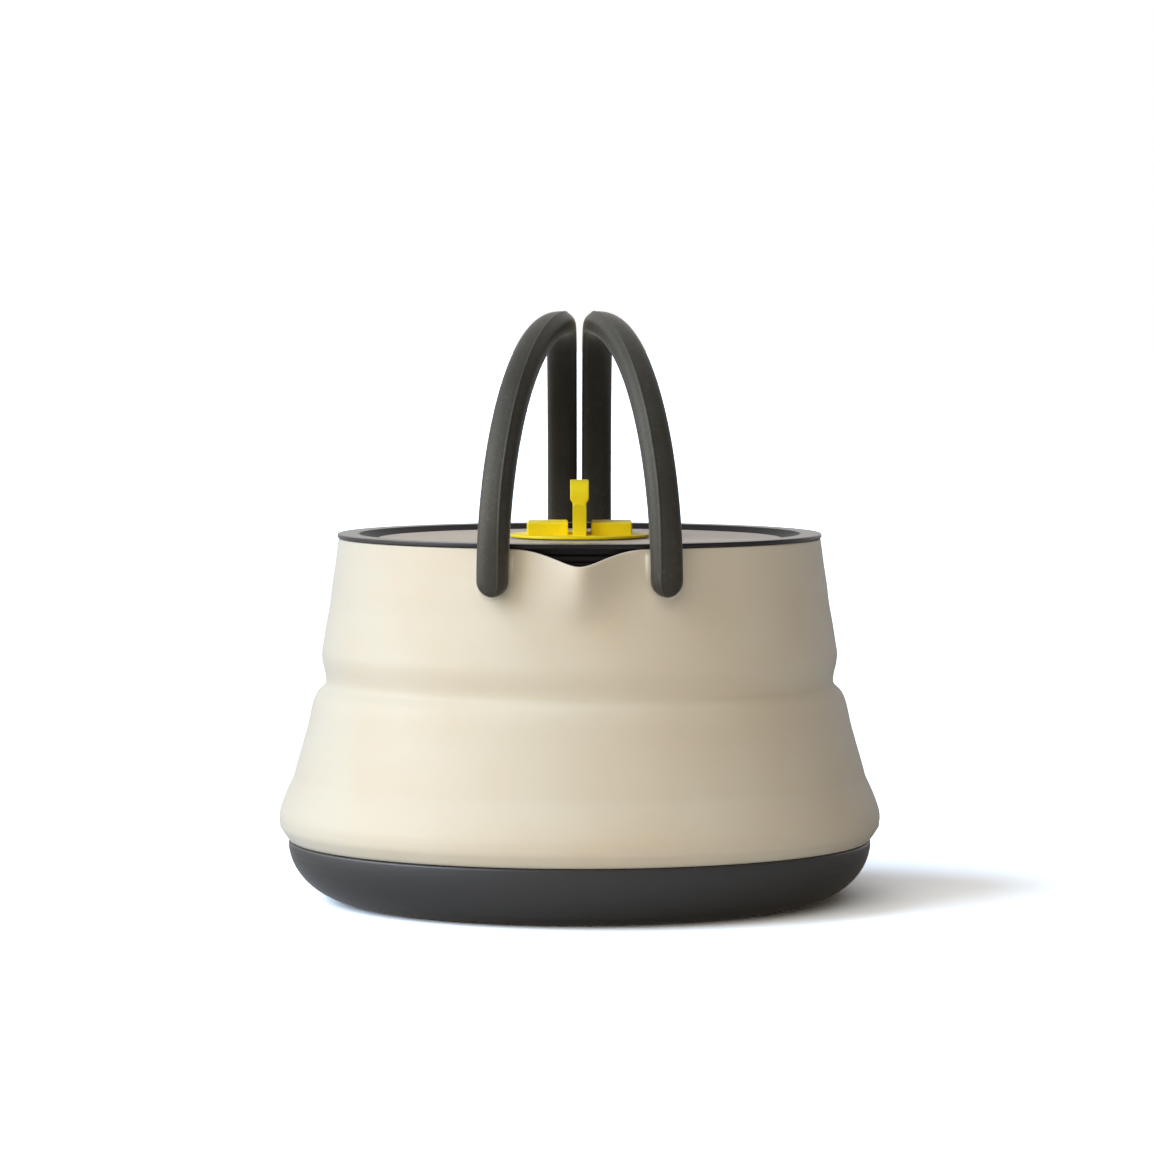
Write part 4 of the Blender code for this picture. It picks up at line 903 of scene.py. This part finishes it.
class KETTLE_OT_knob(bpy.types.Operator):
    """Builds the yellow knob base and its flip-up tab, and dresses their fasteners"""
    bl_idname = "kettle.knob"
    bl_label = "Knob"

    # In mm: the tab's axis, its pin's bore, and the sizes that tab and stem share
    axis_z = 102.55
    bore_radius, bore_steps = 1.1, 32
    tab_top, tab_half_depth = 110.6, 8.7
    neck_half_width = 1.8

    def execute(self, context):
        colours = context.scene.kettle_colours
        yellow = yellow_material(colours)
        self.build_seat(yellow)
        self.build_tab(yellow)
        dress_nodes(steel_material(colours), "tab_pin", "knob_washer", "knob_clip")
        return {"FINISHED"}

    def axis_place(self, degrees):
        """The tab's axis, with Z turned about X to lie along it."""
        return Matrix.Translation((0, 0, self.axis_z * MM)) @ Matrix.Rotation(math.radians(degrees), 4, "X")

    def build_seat(self, yellow):
        """The disc with its grooved stud, the stem's two ears, and the blocks that the tab rests on."""
        corners = [
            (0, 96.5, 0), (9, 96.5, 0), (18.3, 96.5, 0.3), (18.3, 95.7, 0.2), (3.0, 95.7, 0),
            (3.0, 92.6, 0.1), (2.2, 92.6, 0.1), (2.2, 91.3, 0.1), (3.0, 91.3, 0.1), (3.0, 90.3, 0.4),
            (0, 90.3, 0)]
        seat = new_piece("knob_seat", turned(filleted(corners), ((360, 144),), closed=False), yellow)
        stem = new_piece("stem", self.slab(self.arch(self.neck_half_width, 96.2, 104.6, 0.5), 12), yellow)
        combine(stem, "DIFFERENCE", block((5, 18.0, 8), (0, 0, self.axis_z + 1.9), 0))
        self.soften(stem, 0.12)
        stem_bm = bmesh.new()
        stem_bm.from_mesh(stem.data)
        bpy.data.objects.remove(stem, do_unlink=True)
        blocks = [block((10.75, 17.0, 3.7), (side * 8.425, 0, 97.95), 0.6) for _, side in SIDES]
        combine(seat, "UNION", stem_bm, *blocks)
        # The bore is blind in the front ear and open in the rear one, where the pin goes in
        combine(seat, "DIFFERENCE", rod(self.bore_radius, -11, 16, self.axis_place(-90), self.bore_steps))
        place_piece(seat, "lid", "yellow", "knob_base")

    def build_tab(self, yellow):
        """The flip-up tab: its front outline, cut to the arch of its side outline, and bored."""
        tab = new_piece("flip_tab", self.tab(), yellow)
        quarter = Matrix.Rotation(math.radians(90), 3, "Z")
        side_outline = self.arch(self.tab_half_depth, 99, self.tab_top, 5)
        combine(tab, "INTERSECT", self.slab(side_outline, 6, quarter))
        combine(tab, "DIFFERENCE", rod(self.bore_radius, -12, 12, self.axis_place(90), self.bore_steps))
        self.soften(tab, 0.28)
        place_piece(tab, "tab", "yellow", "lid_tab")

    def soften(self, piece, width):
        """Rounds a piece's sharp edges by a narrow width in mm."""
        bm = bmesh.new()
        bm.from_mesh(piece.data)
        bmesh.ops.remove_doubles(bm, verts=bm.verts, dist=MM / 100)
        bmesh.ops.dissolve_limit(bm, angle_limit=math.radians(1), verts=bm.verts, edges=bm.edges)
        folds = [edge for edge in bm.edges if len(edge.link_faces) == 2]
        sharp = [edge for edge in folds if edge.calc_face_angle() > math.radians(35)]
        bmesh.ops.bevel(bm, geom=sharp, offset=width * MM, affect="EDGES", segments=3, profile=0.5,
                        material=-1, clamp_overlap=True)
        bm.to_mesh(piece.data)
        bm.free()
        shade(piece.data, SHARP_DEG)

    def slab(self, outline, half_depth, turn=None):
        """A flat outline of (x, z) in mm, extruded half_depth each way along Y, then turned."""
        bm = bmesh.new()
        face = bm.faces.new([bm.verts.new((x * MM, -half_depth * MM, z * MM)) for x, z in outline])
        grown = bmesh.ops.extrude_face_region(bm, geom=[face])["geom"]
        moved = [item for item in grown if isinstance(item, bmesh.types.BMVert)]
        bmesh.ops.translate(bm, vec=(0, 2 * half_depth * MM, 0), verts=moved)
        if turn:
            bmesh.ops.rotate(bm, cent=(0, 0, 0), matrix=turn, verts=bm.verts)
        bmesh.ops.recalc_face_normals(bm, faces=bm.faces)
        return bm

    def arch(self, half_width, low, top, rounding):
        """An outline with two rounded upper corners."""
        outline = [(-half_width, low), (half_width, low)]
        for side, start in ((1, 0), (-1, 90)):
            for step in range(11):
                angle = math.radians(start + 90 * step / 10)
                outline.append((side * (half_width - rounding) + rounding * math.cos(angle),
                                top - rounding + rounding * math.sin(angle)))
        return outline

    def tab(self):
        """The tab's front outline: a thin neck with a round foot, flared to a thicker head."""
        half, head_low = self.neck_half_width, 105.9
        foot = [(half * math.cos(angle), self.axis_z + half * math.sin(angle))
                for angle in [math.radians(180 + 180 * step / 16) for step in range(17)]]
        flare = [(half, head_low - 1.2), (2.0, head_low - 0.75), (2.35, head_low - 0.2),
                 (2.45, head_low + 0.2), (2.45, self.tab_top)]
        return self.slab(foot + flare + [(-x, z) for x, z in reversed(flare)], self.tab_half_depth)


class KETTLE_PT_sidebar(bpy.types.Panel):
    """Lists the kettle's sizes, colours and building steps"""
    bl_idname = "KETTLE_PT_sidebar"
    bl_label = "Kettle"
    bl_space_type = "VIEW_3D"
    bl_region_type = "UI"
    bl_category = "Kettle"

    def draw(self, context):
        for operator in OPERATORS:
            self.layout.operator(operator.bl_idname)
        for group in (context.scene.kettle_sizes, context.scene.kettle_colours):
            box = self.layout.box()
            for name in group.__annotations__:
                box.prop(group, name)


OPERATORS = (
    KETTLE_OT_stage, KETTLE_OT_wall, KETTLE_OT_pan, KETTLE_OT_rim, KETTLE_OT_handles, KETTLE_OT_lid,
    KETTLE_OT_knob)
CLASSES = (KettleSizes, KettleColours, *OPERATORS, KETTLE_PT_sidebar)


def register():
    for item in CLASSES:
        bpy.utils.register_class(item)
    bpy.types.Scene.kettle_sizes = bpy.props.PointerProperty(type=KettleSizes)
    bpy.types.Scene.kettle_colours = bpy.props.PointerProperty(type=KettleColours)


def unregister():
    del bpy.types.Scene.kettle_colours
    del bpy.types.Scene.kettle_sizes
    for item in reversed(CLASSES):
        bpy.utils.unregister_class(item)


def main():
    """Registers the add-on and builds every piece."""
    register()
    bpy.ops.kettle.stage()
    bpy.ops.kettle.wall()
    bpy.ops.kettle.pan()
    bpy.ops.kettle.rim()
    bpy.ops.kettle.handles()
    bpy.ops.kettle.lid()
    bpy.ops.kettle.knob()


if __name__ == "__main__":
    main()
